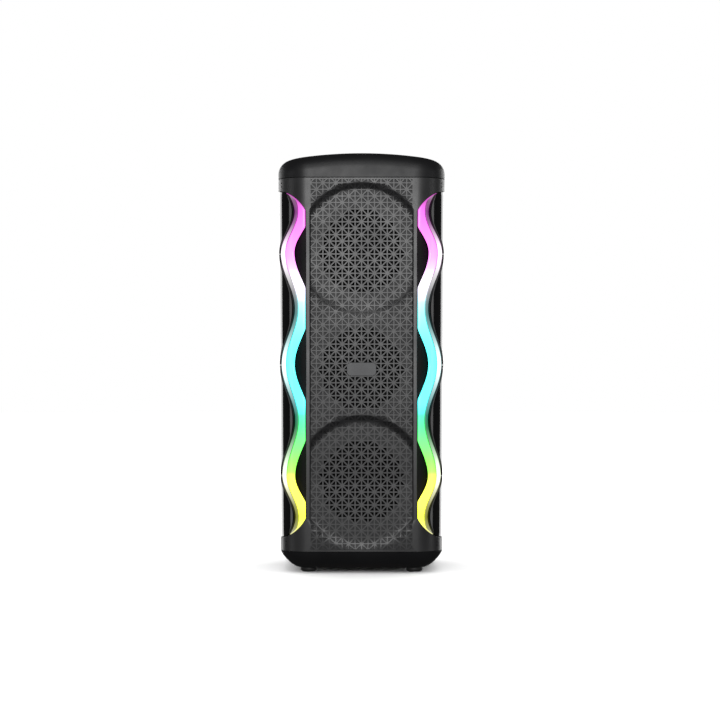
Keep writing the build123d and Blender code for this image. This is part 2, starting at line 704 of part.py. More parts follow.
def basket(centre_height, scale):
    """Stamped frame: mounting flange, six-armed cone and the magnet's seat."""
    profile = [(82.5, -4), (82.5, 0), (73, 0), (72, 14), (48, 36), (48, 41), (15, 41), (15, 37.5),
               (45, 37.5), (45, 34.5), (69.5, 12.5), (71, -1), (71, -4)]
    with BuildPart() as body:
        add(ring(profile, centre_height, scale))
        with BuildSketch(Plane.XZ.offset(-BAFFLE_BACK - 2)):
            with Locations((0, centre_height)):
                with PolarLocations(60 * scale, 6):
                    RectangleRounded(15 * scale, 34 * scale, 5 * scale)
        extrude(amount=-60 * scale, mode=Mode.SUBTRACT)
        with BuildSketch(Plane.XZ.offset(-BAFFLE_FRONT)):
            with Locations((0, centre_height)):
                with PolarLocations(77.5 * scale, 4, start_angle=45):
                    Circle(SCREW_HOLE)
        extrude(amount=10, mode=Mode.SUBTRACT)
    return body.part


def surround(centre_height, scale):
    """Half-roll rubber edge between the cone and the flange."""
    middle = (SURROUND_INNER + 71.0) / 2 * scale
    outer = (71.0 - SURROUND_INNER) / 2 * scale
    with BuildPart() as body:
        with BuildSketch(Plane.XY.offset(centre_height)):
            with Locations((middle, BAFFLE_FRONT - 4 * scale)):
                Circle(outer)
                Circle(outer - 1.2 * scale, mode=Mode.SUBTRACT)
            with Locations((middle, BAFFLE_FRONT - 4 * scale + outer)):
                Rectangle(3 * outer, 2 * outer, mode=Mode.SUBTRACT)
        revolve(axis=Axis((0, 0, centre_height), (0, 1, 0)))
    return body.part


DRIVER_PIECES = {
    "magnet": [(22, 41.2), (45, 41.2), (45, 59), (22, 59)],
    "yoke": [(5, 35), (12.6, 35), (12.6, 59.2), (44, 59.2), (44, 65), (5, 65)],
    "voice_coil": [(13.3, 21), (14.2, 21), (14.2, 47), (13.3, 47)],
    "spider": [(14.6, 26), (20, 24.5), (26, 27.5), (32, 24.5), (38, 27.5), (44, 25.2), (51, 26),
               (51, 26.9), (44, 26.1), (38, 28.4), (32, 25.4), (26, 28.4), (20, 25.4), (14.6, 26.9)],
    "cone": [(14.3, 19.5), (16, 17.8), (36, 7.5), (58, -3.4), (58, -2), (36, 9), (16, 19.5), (14.3, 21.4)],
    "dust_cap": [(0, 7.6), (9, 8.8), (16, 12.2), (20, 14.9), (20, 15.4), (15.6, 13.1), (9, 9.7), (0, 8.5)],
}
for driver, (centre_height, scale) in DRIVERS.items():
    frame = basket(centre_height, scale)
    frame.label = f"{driver}_basket"
    export_step(frame, f"parts/{driver}_basket.step")
    edge = surround(centre_height, scale)
    edge.label = f"{driver}_surround"
    export_step(edge, f"parts/{driver}_surround.step")
    for name, profile in DRIVER_PIECES.items():
        piece = ring(profile, centre_height, scale)
        piece.label = f"{driver}_{name}"
        export_step(piece, f"parts/{driver}_{name}.step")

with BuildPart() as driver_screws:
    for centre_height, scale in DRIVERS.values():
        for sign_x in (-1, 1):
            for sign_z in (-1, 1):
                reach = 77.5 * scale / sqrt(2)
                place = (sign_x * reach, BAFFLE_FRONT - 4 * scale, centre_height + sign_z * reach)
                add(screw(place, (0, 1, 0), 3.6, 2.2, 1.9, 4 * scale + 11))
driver_screws.part.label = "driver_screws"
export_step(driver_screws.part, "parts/driver_screws.step")

with BuildPart() as cabinet_screws:
    for x, z in BAFFLE_SCREWS:
        add(screw((x, BAFFLE_FRONT, z), (0, 1, 0), 3.5, 2.2, 1.9, 16))
    for x, z in IO_SCREWS:
        add(screw((x, IO_FACE, z), (0, -1, 0), 2.8, 1.4, 1.5, 7))
    for x, y in FOOT_PLACES:
        add(screw((x, y, FOOT_SCREW_SEAT), (0, 0, 1), 3.8, 2.2, 1.9, 12))
cabinet_screws.part.label = "cabinet_screws"
export_step(cabinet_screws.part, "parts/cabinet_screws.step")


# --- Back: port, sockets and switch -------------------------------------------------
with BuildPart() as bass_port:
    with BuildSketch(Plane.XY.offset(PORT_HEIGHT)):
        with BuildLine():
            face = port_face
            Polyline((PORT_FLANGE, face), (PORT_FLANGE, face - 2.7), (PORT_INNER + PORT_WALL, face - 2.7),
                     (PORT_INNER + PORT_WALL, face - PORT_LENGTH), (PORT_INNER, face - PORT_LENGTH),
                     (PORT_INNER, face - 8))
            RadiusArc((PORT_INNER, face - 8), (PORT_INNER + 8, face), 8)
            Line((PORT_INNER + 8, face), (PORT_FLANGE, face))
        make_face()
    revolve(axis=Axis((0, 0, PORT_HEIGHT), (0, 1, 0)))
bass_port.part.label = "bass_port"
export_step(bass_port.part, "parts/bass_port.step")

JACK_ROW = IO_CENTRE + 15
MIC_JACKS = (-44.0, -18.0)
MIC_BORE = 3.2
JACK_RADIUS = 5.5
USB_X = 10.0
USB_BODY = (15.0, 8.0)
USB_SLOT = (12.4, 4.8)
USB_BEZEL = (22.0, 15.0)  # snaps into the panel from inside
INLET_X = 40.0
SWITCH_CENTRE = (30.0, IO_CENTRE - 18)
SWITCH_OPENING = (19.0, 15.0)
SWITCH_WALL = 2.0
SWITCH_AXIS_Y = 110.0
TRUNNION = 1.0

with BuildPart() as rear_io_panel:
    with BuildSketch(Plane.XZ.offset(-IO_FLOOR)):
        with Locations((0, IO_CENTRE)):
            RectangleRounded(IO_SIZE[0], IO_SIZE[1], 8)
    extrude(amount=-(IO_FACE - IO_FLOOR))
    with BuildSketch(Plane.XZ.offset(-SWITCH_AXIS_Y + 5)):
        with Locations(SWITCH_CENTRE):
            Rectangle(SWITCH_OPENING[0] + 2 * SWITCH_WALL, SWITCH_OPENING[1] + 2 * SWITCH_WALL)
    extrude(amount=-(IO_FLOOR - SWITCH_AXIS_Y + 5.5))
    with BuildSketch(Plane.XZ.offset(-SWITCH_AXIS_Y + 5)):
        with Locations(SWITCH_CENTRE):
            Rectangle(*SWITCH_OPENING)
        with Locations([(x, JACK_ROW) for x in (*MIC_JACKS, INLET_X)]):
            Circle(JACK_RADIUS + 0.2)
        with Locations((USB_X, JACK_ROW)):
            Rectangle(USB_BEZEL[0] + 0.4, USB_BEZEL[1] + 0.4)
        with Locations(IO_SCREWS):
            Circle(1.7)
    extrude(amount=-30, mode=Mode.SUBTRACT)
    with Locations((SWITCH_CENTRE[0], SWITCH_AXIS_Y, SWITCH_CENTRE[1])):
        Cylinder(TRUNNION + 0.05, 40, rotation=(0, 90, 0), mode=Mode.SUBTRACT)
rear_io_panel.part.label = "rear_io_panel"
export_step(rear_io_panel.part, "parts/rear_io_panel.step")


def socket(x, bore, pin=0.0):
    """Round socket on the back panel, with a bore from the back and a block behind it."""
    with BuildPart() as body:
        with BuildSketch(Plane.XZ.offset(-IO_FLOOR + 16)):
            with Locations((x, JACK_ROW)):
                RectangleRounded(12.5, 12.5, 1.5)
        extrude(amount=-15.5)
        with BuildSketch(Plane.XZ.offset(-IO_FLOOR)):
            with Locations((x, JACK_ROW)):
                Circle(JACK_RADIUS)
        extrude(amount=-(IO_FACE - IO_FLOOR + 1))
        with BuildSketch(Plane.XZ.offset(-IO_FLOOR)):
            with Locations((x, JACK_ROW)):
                Circle(JACK_RADIUS)
        extrude(amount=2)
        with BuildSketch(Plane.XZ.offset(-IO_FLOOR + 12)):
            with Locations((x, JACK_ROW)):
                Circle(bore)
        extrude(amount=-20, mode=Mode.SUBTRACT)
        if pin > 0:
            with BuildSketch(Plane.XZ.offset(-IO_FLOOR + 13)):
                with Locations((x, JACK_ROW)):
                    Circle(pin)
            extrude(amount=-13)
    return body.part


with BuildPart() as mic_jacks:
    for x in MIC_JACKS:
        add(socket(x, MIC_BORE))
mic_jacks.part.label = "mic_jacks"
export_step(mic_jacks.part, "parts/mic_jacks.step")

power_inlet = socket(INLET_X, 3.1, pin=1.0)
power_inlet.label = "power_inlet"
export_step(power_inlet, "parts/power_inlet.step")

with BuildPart() as usb_socket:
    block((USB_X - USB_BODY[0] / 2, USB_X + USB_BODY[0] / 2), (IO_FLOOR - 14, IO_FACE + 0.4),
          (JACK_ROW - USB_BODY[1] / 2, JACK_ROW + USB_BODY[1] / 2))
    block((USB_X - USB_BEZEL[0] / 2, USB_X + USB_BEZEL[0] / 2), (IO_FLOOR - 1.2, IO_FACE),
          (JACK_ROW - USB_BEZEL[1] / 2, JACK_ROW + USB_BEZEL[1] / 2))
    block((USB_X - USB_BEZEL[0] / 2 - 1, USB_X + USB_BEZEL[0] / 2 + 1), (IO_FLOOR - 1.2, IO_FLOOR - 0.1),
          (JACK_ROW - USB_BEZEL[1] / 2 - 1, JACK_ROW + USB_BEZEL[1] / 2 + 1))
    block((USB_X - USB_SLOT[0] / 2, USB_X + USB_SLOT[0] / 2), (IO_FLOOR - 11, IO_FACE + 2),
          (JACK_ROW - USB_SLOT[1] / 2, JACK_ROW + USB_SLOT[1] / 2), mode=Mode.SUBTRACT)
usb_socket.part.label = "usb_socket"
export_step(usb_socket.part, "parts/usb_socket.step")

ROCKER_HALF = 9.0
ROCKER_TILT = 7.0  # degrees, pressed at its lower edge while switched off
with BuildPart() as power_rocker:
    with BuildSketch(Plane((SWITCH_CENTRE[0] - ROCKER_HALF, SWITCH_AXIS_Y, SWITCH_CENTRE[1]),
                           x_dir=(0, cos(radians(ROCKER_TILT)), -sin(radians(ROCKER_TILT))), z_dir=(1, 0, 0))):
        with BuildLine():
            Polyline((-4, -3.5), (6.5, -6.2), (8, -5.6), (7, 0), (8, 5.6), (6.5, 6.2), (-4, 3.5), close=True)
        make_face()
    extrude(amount=2 * ROCKER_HALF)
    with Locations((SWITCH_CENTRE[0], SWITCH_AXIS_Y, SWITCH_CENTRE[1])):
        Cylinder(TRUNNION, SWITCH_OPENING[0] + 2, rotation=(0, 90, 0))
power_rocker.part.label = "power_rocker"
export_step(power_rocker.part, "parts/power_rocker.step")


# --- Electronics and battery --------------------------------------------------------
AMP_BOARD_BACK = 86.0
with BuildPart() as amplifier_board:
    block((-62, 62), (AMP_BOARD_BACK - 1.6, AMP_BOARD_BACK), (IO_CENTRE - 42, IO_CENTRE + 42))
    with Locations([(x, AMP_BOARD_BACK + 8, IO_CENTRE - 28) for x in (-48, -30)]):
        Cylinder(8, 16, rotation=(90, 0, 0))
    block((-12, 8), (AMP_BOARD_BACK, AMP_BOARD_BACK + 12), (IO_CENTRE - 38, IO_CENTRE - 18))
    for x in (-50, -40, -30, -20):
        block((x - 4, x + 4), (AMP_BOARD_BACK - 5.6, AMP_BOARD_BACK - 1.6), (IO_CENTRE + 32, IO_CENTRE + 40))
amplifier_board.part.label = "amplifier_board"
export_step(amplifier_board.part, "parts/amplifier_board.step")

with BuildPart() as heatsink:
    block((-40, 40), (78.0, AMP_BOARD_BACK - 1.8), (IO_CENTRE - 35, IO_CENTRE + 28))
    for index in range(9):
        x = -38 + index * 9.5
        block((x - 1.2, x + 1.2), (60.0, 78.0), (IO_CENTRE - 35, IO_CENTRE + 28))
heatsink.part.label = "heatsink"
export_step(heatsink.part, "parts/heatsink.step")

BATTERY_HALF_DEPTH = 38.0
BATTERY_BASE = FOOT_HEIGHT + WALL + 0.3
BATTERY_TOP = 76.0
with BuildPart() as battery_pack:
    block((-74, 74), (-BATTERY_HALF_DEPTH, BATTERY_HALF_DEPTH), (BATTERY_BASE, BATTERY_TOP))
    fillet(battery_pack.edges().filter_by(Axis.X), 9)
    fillet(battery_pack.edges().filter_by(Axis.Z), 1.5)
battery_pack.part.label = "battery_pack"
export_step(battery_pack.part, "parts/battery_pack.step")

with BuildPart() as battery_straps:
    inside = BATTERY_HALF_DEPTH + GAP
    for x in (-45, 45):
        width = (x - 9, x + 9)
        block(width, (-inside - 16, inside + 16), (BATTERY_BASE - 0.2, BATTERY_BASE + 1.3))
        block(width, (-inside - 1.5, inside + 1.5), (BATTERY_BASE - 0.2, BATTERY_TOP + GAP + 1.5))
        block(width, (-inside, inside), (0, BATTERY_TOP + GAP), mode=Mode.SUBTRACT)
battery_straps.part.label = "battery_straps"
export_step(battery_straps.part, "parts/battery_straps.step")
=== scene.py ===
from math import asin, copysign, cos, floor, hypot, pi, radians, sin, sqrt, tan

import bpy
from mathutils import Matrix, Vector
from mathutils.geometry import delaunay_2d_cdt


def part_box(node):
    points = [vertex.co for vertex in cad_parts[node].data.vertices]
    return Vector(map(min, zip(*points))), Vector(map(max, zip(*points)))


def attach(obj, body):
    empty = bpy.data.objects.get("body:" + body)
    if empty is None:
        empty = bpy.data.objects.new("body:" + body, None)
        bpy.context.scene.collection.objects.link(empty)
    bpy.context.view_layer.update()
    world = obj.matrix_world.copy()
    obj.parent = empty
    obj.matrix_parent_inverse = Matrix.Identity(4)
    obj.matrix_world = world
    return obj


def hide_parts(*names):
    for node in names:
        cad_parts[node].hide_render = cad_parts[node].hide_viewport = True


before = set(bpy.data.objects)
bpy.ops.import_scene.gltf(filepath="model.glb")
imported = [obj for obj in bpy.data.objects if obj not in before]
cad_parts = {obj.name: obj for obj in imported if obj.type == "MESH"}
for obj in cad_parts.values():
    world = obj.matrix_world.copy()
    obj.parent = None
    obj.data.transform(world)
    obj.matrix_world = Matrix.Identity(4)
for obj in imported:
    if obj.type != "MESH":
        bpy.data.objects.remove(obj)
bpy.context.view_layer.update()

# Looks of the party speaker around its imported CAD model. Shapes are worked out in
# millimetres in the CAD frame, and make_object writes them in metres.
MM = 0.001

# --- Outer surface of the cabinet ------------------------------------------------------
FOOT_HEIGHT = 7.0
SLOPE = tan(radians(0.38))
HALF_WIDTH = 121.0
HALF_DEPTH = 118.0
CORNER_X = 79.0
CORNER_Y = -76.0
CORNER_RADIUS = 42.0
REAR_RADIUS = 36.0
REFERENCE = 44.0  # corner radius at which widths along the corner are measured
QUARTER = REFERENCE * pi / 2
SIDES = ((1, "right"), (-1, "left"))

grille_low, grille_high = (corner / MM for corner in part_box("front_grille"))
LOW_SEAM = grille_low.z
HIGH_SEAM = grille_high.z
GRILLE_END = CORNER_X + QUARTER + grille_high.y - CORNER_Y

# The light openings are mirrored about one height, and their edges swing with the wave.
WAVE_MIDDLE = 310.5
HALF_WAVE = 83.0
END_HALF_WAVE = 60.0
PANEL_EDGE = 82.3
FLARE_START = 226.5
FLARE_TURN = (97.5, 246.0)
FLARE_TOP = 120.0
FLARE_END = 258.5

# Light band edges: x at the wave's middle, and how far it swings to each side.
BAND_INNER = (89.0, 12.7)
BAND_RIDGE = (104.2, 9.2)
BAND_OUTER = (111.2, 11.2)

# Heights on the bottom cap, and how far its side stands in from the cabinet's side there.
CUP_PROFILE = ((7.0, 27.0), (7.3, 25.3), (8.2, 22.7), (10.0, 19.3), (13.0, 14.9), (16.0, 11.5), (20.0, 7.7),
               (24.0, 4.5), (27.0, 2.5), (29.5, 1.1), (31.2, 0.3), (32.0, 0.0))
CUP_HEIGHTS = (7.0, 7.1, 7.3, 7.7, 8.2, 9.0, 10.0, 11.4, 13.0, 14.5, 16.0, 18.0, 20.0, 22.0, 24.0, 25.5, 27.0,
               28.2, 29.5, 30.4, 31.2)

# Front grille: dishes as (distance from the centre, depth), round zones of through holes, and
# a square grid of triangular pockets between ribs.
DISHES = (136.0, 481.4)
DISH_PROFILE = ((99.4, 0.0), (98.2, 0.3), (96.8, 1.0), (93.0, 3.5), (91.2, 4.4), (88.6, 4.8))
DISH_RIM = DISH_PROFILE[0][0]
DISH_LIMIT = 76.9
LOWER_SOFTNESS = 0.6  # share of its depth that a dish loses towards its lower edge
HOLE_ZONES = {"lower": 138.2, "middle": 305.0, "upper": 478.1}
HOLE_ZONE_RADIUS = 61.2
PITCH = 9.54
RIB = 1.9
GRID_HEIGHT = 521.8
PATTERN_HALF_WIDTH = 75.2
PATTERN_MARGIN = 3.0
BEVEL = 0.25
RIM_BEVEL_WIDTH = 0.55
RIM_BEVEL_DEPTH = 0.5
CORNER_HOLES = ((127.0, 580.6), (127.0, 575.4), (119.3, 46.6), (119.3, 41.3))
CORNER_HOLE_RADIUS = 1.15
POCKET_DEPTH = 1.7
SKIN = 3.0

# Upright groove along each straight edge of the grille.
GROOVE_LOW = WAVE_MIDDLE - FLARE_START - 2
GROOVE_HIGH = WAVE_MIDDLE + FLARE_START + 2
GROOVE_LINES = (76.0, 76.3, 77.1, 77.6, 77.9)
GROOVE_FLOOR = (76.2, 77.7)
GROOVE_DEPTH = 1.2


def growth(z):
    """How much wider each side of the cabinet is at a height than at its underside."""
    return SLOPE * (z - FOOT_HEIGHT)


def skin_point(s, z, depth):
    """Point of the front and corner surface: s runs sideways along it from the middle."""
    side = copysign(1.0, s)
    run = abs(s)
    if run <= CORNER_X:
        return s, depth - HALF_DEPTH - growth(z), z
    radius = CORNER_RADIUS + growth(z) - depth
    angle = (run - CORNER_X) / REFERENCE
    if angle <= pi / 2:
        return side * (CORNER_X + radius * sin(angle)), CORNER_Y - radius * cos(angle), z
    return side * (CORNER_X + radius), CORNER_Y + run - CORNER_X - QUARTER, z


def run_at(x):
    """Distance along the surface of the line at x on the right front corner."""
    if x <= CORNER_X:
        return x
    return CORNER_X + REFERENCE * asin(min((x - CORNER_X) / REFERENCE, 1.0))


def circle_through(a, b, c):
    """Centre and radius of the circle through three points."""
    d = 2 * (a[0] * (b[1] - c[1]) + b[0] * (c[1] - a[1]) + c[0] * (a[1] - b[1]))
    squares = [p[0] ** 2 + p[1] ** 2 for p in (a, b, c)]
    x = (squares[0] * (b[1] - c[1]) + squares[1] * (c[1] - a[1]) + squares[2] * (a[1] - b[1])) / d
    y = (squares[0] * (c[0] - b[0]) + squares[1] * (a[0] - c[0]) + squares[2] * (b[0] - a[0])) / d
    return (x, y), hypot(a[0] - x, a[1] - y)


FLARE_CENTRE, FLARE_RADIUS = circle_through((PANEL_EDGE, FLARE_START), FLARE_TURN, (FLARE_TOP, FLARE_END))


def flare_x(distance):
    """Edge of the flared grille end, at a distance above or below the middle of the wave."""
    if distance <= FLARE_START:
        return PANEL_EDGE
    reach = min(distance, FLARE_END) - FLARE_CENTRE[1]
    return FLARE_CENTRE[0] - sqrt(max(FLARE_RADIUS ** 2 - reach ** 2, 0.0))


def flare_distance(x):
    """Distance from the middle of the wave at which the flare's edge stands at x."""
    across = x - FLARE_CENTRE[0]
    return FLARE_CENTRE[1] + sqrt(max(FLARE_RADIUS ** 2 - across ** 2, 0.0))


def wave(z):
    """Sideways swing of the light band: 1 outward, -1 inward."""
    distance = abs(z - WAVE_MIDDLE)
    if distance <= 2 * HALF_WAVE:
        return cos(pi * distance / HALF_WAVE)
    return cos(pi * (distance - 2 * HALF_WAVE) / END_HALF_WAVE)


def swung(line, z):
    """x of a band edge at a height."""
    return line[0] + line[1] * wave(z)


# --- Mesh helpers ----------------------------------------------------------------------
def make_object(name, points, faces, materials, sharp, indices=None):
    """Piece of the cabinet from points in millimetres, smooth shaded up to a sharp angle."""
    mesh = bpy.data.meshes.new(name)
    mesh.from_pydata([tuple(c * MM for c in point) for point in points], [], faces)
    for material in materials:
        mesh.materials.append(material)
    if indices:
        mesh.polygons.foreach_set("material_index", indices)
    mesh.polygons.foreach_set("use_smooth", [True] * len(mesh.polygons))
    mesh.set_sharp_from_angle(angle=radians(sharp))
    mesh.validate()
    mesh.update()
    piece = bpy.data.objects.new(name, mesh)
    bpy.context.scene.collection.objects.link(piece)
    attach(piece, "cabinet")
    return piece


def strip(faces, first, second):
    """Quads between two closed rows of point numbers."""
    count = len(first)
    for index in range(count):
        after = (index + 1) % count
        faces.append((first[index], first[after], second[after], second[index]))


def loft(faces, rows, forward=True):
    """Closed solid through rows of point numbers. A mirrored one runs the other way."""
    for a, b in zip(rows, rows[1:]):
        strip(faces, *((a, b) if forward else (b, a)))
    ends = (reversed(rows[0]), rows[-1]) if forward else (rows[0], reversed(rows[-1]))
    faces.extend(tuple(end) for end in ends)


def add_row(points, rows, new_points):
    """Adds points and the row of their numbers."""
    first = len(points)
    points.extend(new_points)
    rows.append(list(range(first, len(points))))


# --- Materials -------------------------------------------------------------------------
FINE_RELIEF = 0.0001  # metres
COARSE_RELIEF = 0.0003  # metres


def new_material(name):
    """Material with its nodes, links and main shader."""
    material = bpy.data.materials.new(name)
    material.use_nodes = True
    nodes = material.node_tree.nodes
    return material, nodes, material.node_tree.links, nodes["Principled BSDF"]


def add_node(nodes, kind, **settings):
    """Shader node with values set by attribute, or by socket name with _ for a space."""
    node = nodes.new(kind)
    for key, value in settings.items():
        if hasattr(node, key):
            setattr(node, key, value)
        else:
            node.inputs[key.replace("_", " ")].default_value = value
    return node


def object_place(nodes):
    """Position in the object's own space, where textures are laid out."""
    return nodes.new("ShaderNodeTexCoord").outputs["Object"]


def grain(nodes, links, place, scale, detail=2.0, roughness=0.55):
    """Noise from 0 to 1."""
    noise = add_node(nodes, "ShaderNodeTexNoise", Scale=scale, Detail=detail, Roughness=roughness)
    links.new(place, noise.inputs["Vector"])
    return noise.outputs["Fac"]


def ramp(nodes, links, factor, stops):
    """Colour that follows a factor through stops of (position, colour)."""
    node = nodes.new("ShaderNodeValToRGB")
    elements = node.color_ramp.elements
    while len(elements) > 1:
        elements.remove(elements[-1])
    for index, (position, colour) in enumerate(stops):
        element = elements[0] if index == 0 else elements.new(position)
        element.position = position
        element.color = (*colour, 1.0)
    links.new(factor, node.inputs["Fac"])
    return node.outputs["Color"]


def span(nodes, links, factor, low, high, start=0.3, end=0.7):
    """Value that runs from low to high while a factor runs from start to end."""
    node = add_node(nodes, "ShaderNodeMapRange", From_Min=start, From_Max=end, To_Min=low, To_Max=high)
    links.new(factor, node.inputs["Value"])
    return node.outputs["Result"]


def moulded(name, colour, rough, scale, bump, vary=0.25, coat=0.0, specular=0.5, metal=0.0):
    """Moulded surface with fine texture, patchy tone and patchy gloss."""
    material, nodes, links, shader = new_material(name)
    place = object_place(nodes)
    patches = grain(nodes, links, place, 28.0, 3.0)
    fine = grain(nodes, links, place, scale)
    darker = tuple(c * (1 - vary) for c in colour)
    lighter = tuple(min(c * (1 + vary), 1.0) for c in colour)
    links.new(ramp(nodes, links, patches, [(0.3, darker), (0.7, lighter)]), shader.inputs["Base Color"])
    links.new(span(nodes, links, patches, rough * 0.9, min(rough * 1.12, 1.0)), shader.inputs["Roughness"])
    relief = add_node(nodes, "ShaderNodeBump", Strength=bump, Distance=FINE_RELIEF)
    links.new(fine, relief.inputs["Height"])
    links.new(relief.outputs["Normal"], shader.inputs["Normal"])
    shader.inputs["Specular IOR Level"].default_value = specular
    shader.inputs["Metallic"].default_value = metal
    shader.inputs["Coat Weight"].default_value = coat
    shader.inputs["Coat Roughness"].default_value = 0.06
    return material


def woven(name, colour, threads):
    """Plain weave: two crossed sets of threads."""
    material, nodes, links, shader = new_material(name)
    place = object_place(nodes)
    sets = []
    for axis in ("X", "Z"):
        bands = add_node(nodes, "ShaderNodeTexWave", bands_direction=axis, Scale=threads, Distortion=0.4,
                         Detail=1.0)
        links.new(place, bands.inputs["Vector"])
        sets.append(bands.outputs["Fac"])
    crossing = add_node(nodes, "ShaderNodeMath", operation="MULTIPLY")
    links.new(sets[0], crossing.inputs[0])
    links.new(sets[1], crossing.inputs[1])
    dark = tuple(c * 0.35 for c in colour)
    tone = ramp(nodes, links, crossing.outputs[0], [(0.0, dark), (1.0, colour)])
    links.new(tone, shader.inputs["Base Color"])
    relief = add_node(nodes, "ShaderNodeBump", Strength=0.6, Distance=COARSE_RELIEF)
    links.new(crossing.outputs[0], relief.inputs["Height"])
    links.new(relief.outputs["Normal"], shader.inputs["Normal"])
    shader.inputs["Roughness"].default_value = 0.9
    shader.inputs["Sheen Weight"].default_value = 0.05
    shader.inputs["Specular IOR Level"].default_value = 0.15
    return material


def banded(name, colour, axis, lines, rough, metal):
    """Turned, wound or brushed surface: fine lines across one axis."""
    material, nodes, links, shader = new_material(name)
    place = object_place(nodes)
    bands = add_node(nodes, "ShaderNodeTexWave", bands_direction=axis, Scale=lines, Distortion=0.6,
                     Detail=2.0)
    links.new(place, bands.inputs["Vector"])
    dark = tuple(c * 0.6 for c in colour)
    tone = ramp(nodes, links, bands.outputs["Fac"], [(0.0, dark), (1.0, colour)])
    links.new(tone, shader.inputs["Base Color"])
    links.new(span(nodes, links, grain(nodes, links, place, 60.0), rough * 0.85, rough * 1.15),
              shader.inputs["Roughness"])
    relief = add_node(nodes, "ShaderNodeBump", Strength=0.4, Distance=FINE_RELIEF)
    links.new(bands.outputs["Fac"], relief.inputs["Height"])
    links.new(relief.outputs["Normal"], shader.inputs["Normal"])
    shader.inputs["Metallic"].default_value = metal
    return material


def fibrous(name, colour, rough=0.85):
    """Pressed paper or board with short fibres."""
    material, nodes, links, shader = new_material(name)
    place = object_place(nodes)
    fibres = add_node(nodes, "ShaderNodeTexVoronoi", feature="DISTANCE_TO_EDGE", Scale=420.0)
    links.new(place, fibres.inputs["Vector"])
    fine = grain(nodes, links, place, 700.0, 4.0, 0.7)
    dark = tuple(c * 0.6 for c in colour)
    links.new(ramp(nodes, links, fine, [(0.35, dark), (0.65, colour)]), shader.inputs["Base Color"])
    relief = add_node(nodes, "ShaderNodeBump", Strength=0.35, Distance=COARSE_RELIEF)
    links.new(fibres.outputs["Distance"], relief.inputs["Height"])
    links.new(relief.outputs["Normal"], shader.inputs["Normal"])
    shader.inputs["Roughness"].default_value = rough
    return material


SLOT_MATERIALS = {
    "grille_plastic": moulded("grille_plastic", (0.024, 0.024, 0.025), 0.38, 1300.0, 0.35, vary=0.12),
    # grille_recess: a darker, less shiny copy of the grille plastic for the blind pockets' walls and floors,
    # painted shade in the pockets.
    "grille_recess": moulded("grille_recess", (0.018, 0.018, 0.019), 0.5, 1300.0, 0.3, vary=0.12,
                             specular=0.34),
    # grille_hole: a near-black copy of the grille plastic for the through holes' walls, painted shade in the
    # holes.
    "grille_hole": moulded("grille_hole", (0.003, 0.003, 0.003), 0.6, 1300.0, 0.3, vary=0.12, specular=0.15),
    "cabinet_plastic": moulded("cabinet_plastic", (0.018, 0.018, 0.019), 0.42, 900.0, 0.45, vary=0.07),
    "cap_plastic": moulded("cap_plastic", (0.010, 0.010, 0.011), 0.44, 1500.0, 0.2, vary=0.1, specular=0.36),
    "gloss_panel": moulded("gloss_panel", (0.006, 0.006, 0.007), 0.10, 300.0, 0.03, coat=0.6),
    "side_gloss": moulded("side_gloss", (0.003, 0.003, 0.0035), 0.09, 260.0, 0.015, vary=0.1, coat=0.3),
    "liner_black": moulded("liner_black", (0.0012, 0.0012, 0.0013), 0.55, 900.0, 0.2, specular=0.2),
    "led_board": moulded("led_board", (0.004, 0.004, 0.004), 0.6, 800.0, 0.2),
    "badge": moulded("badge", (0.055, 0.056, 0.058), 0.42, 1800.0, 0.25, vary=0.12, metal=0.3),
    "speaker_cloth": woven("speaker_cloth", (0.0025, 0.0025, 0.0027), 420.0),
    "baffle_board": fibrous("baffle_board", (0.05, 0.04, 0.03)),
    "driver_steel": moulded("driver_steel", (0.10, 0.10, 0.105), 0.4, 900.0, 0.2, metal=0.8),
    "magnet_ferrite": moulded("magnet_ferrite", (0.02, 0.02, 0.022), 0.6, 700.0, 0.5),
    "yoke_steel": banded("yoke_steel", (0.35, 0.35, 0.36), "Y", 500.0, 0.35, 1.0),
    "cone_paper": fibrous("cone_paper", (0.016, 0.016, 0.017)),
    "surround_rubber": moulded("surround_rubber", (0.010, 0.010, 0.010), 0.6, 600.0, 0.2),
    "spider_cloth": woven("spider_cloth", (0.45, 0.28, 0.08), 500.0),
    "coil_copper": banded("coil_copper", (0.65, 0.28, 0.14), "Y", 900.0, 0.3, 1.0),
    "dust_cap": fibrous("dust_cap", (0.013, 0.013, 0.014), 0.6),
    "button_rubber": moulded("button_rubber", (0.035, 0.035, 0.037), 0.6, 1200.0, 0.2),
    "dial_plastic": moulded("dial_plastic", (0.025, 0.025, 0.026), 0.32, 1000.0, 0.2, coat=0.2),
    "circuit_board": moulded("circuit_board", (0.012, 0.09, 0.035), 0.4, 500.0, 0.3, coat=0.4),
    "heatsink_alloy": banded("heatsink_alloy", (0.55, 0.55, 0.57), "Z", 300.0, 0.4, 1.0),
    "battery_wrap": moulded("battery_wrap", (0.02, 0.06, 0.16), 0.35, 200.0, 0.15, coat=0.3),
    "strap_steel": banded("strap_steel", (0.5, 0.5, 0.5), "X", 400.0, 0.35, 1.0),
    "screw_steel": moulded("screw_steel", (0.08, 0.08, 0.085), 0.35, 1500.0, 0.3, metal=0.9),
    "foot_rubber": moulded("foot_rubber", (0.012, 0.012, 0.012), 0.55, 900.0, 0.5),
    "socket_plastic": moulded("socket_plastic", (0.012, 0.012, 0.013), 0.35, 1100.0, 0.2),
    "usb_metal": moulded("usb_metal", (0.5, 0.5, 0.5), 0.3, 900.0, 0.15, metal=1.0),
    "rocker_plastic": moulded("rocker_plastic", (0.30, 0.010, 0.008), 0.3, 900.0, 0.1, coat=0.3),
    "light_diffuser": moulded("light_diffuser", (0.6, 0.6, 0.6), 0.3, 900.0, 0.1),
}
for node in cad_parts.values():
    for slot in node.material_slots:
        slot.material = SLOT_MATERIALS[slot.material.name]


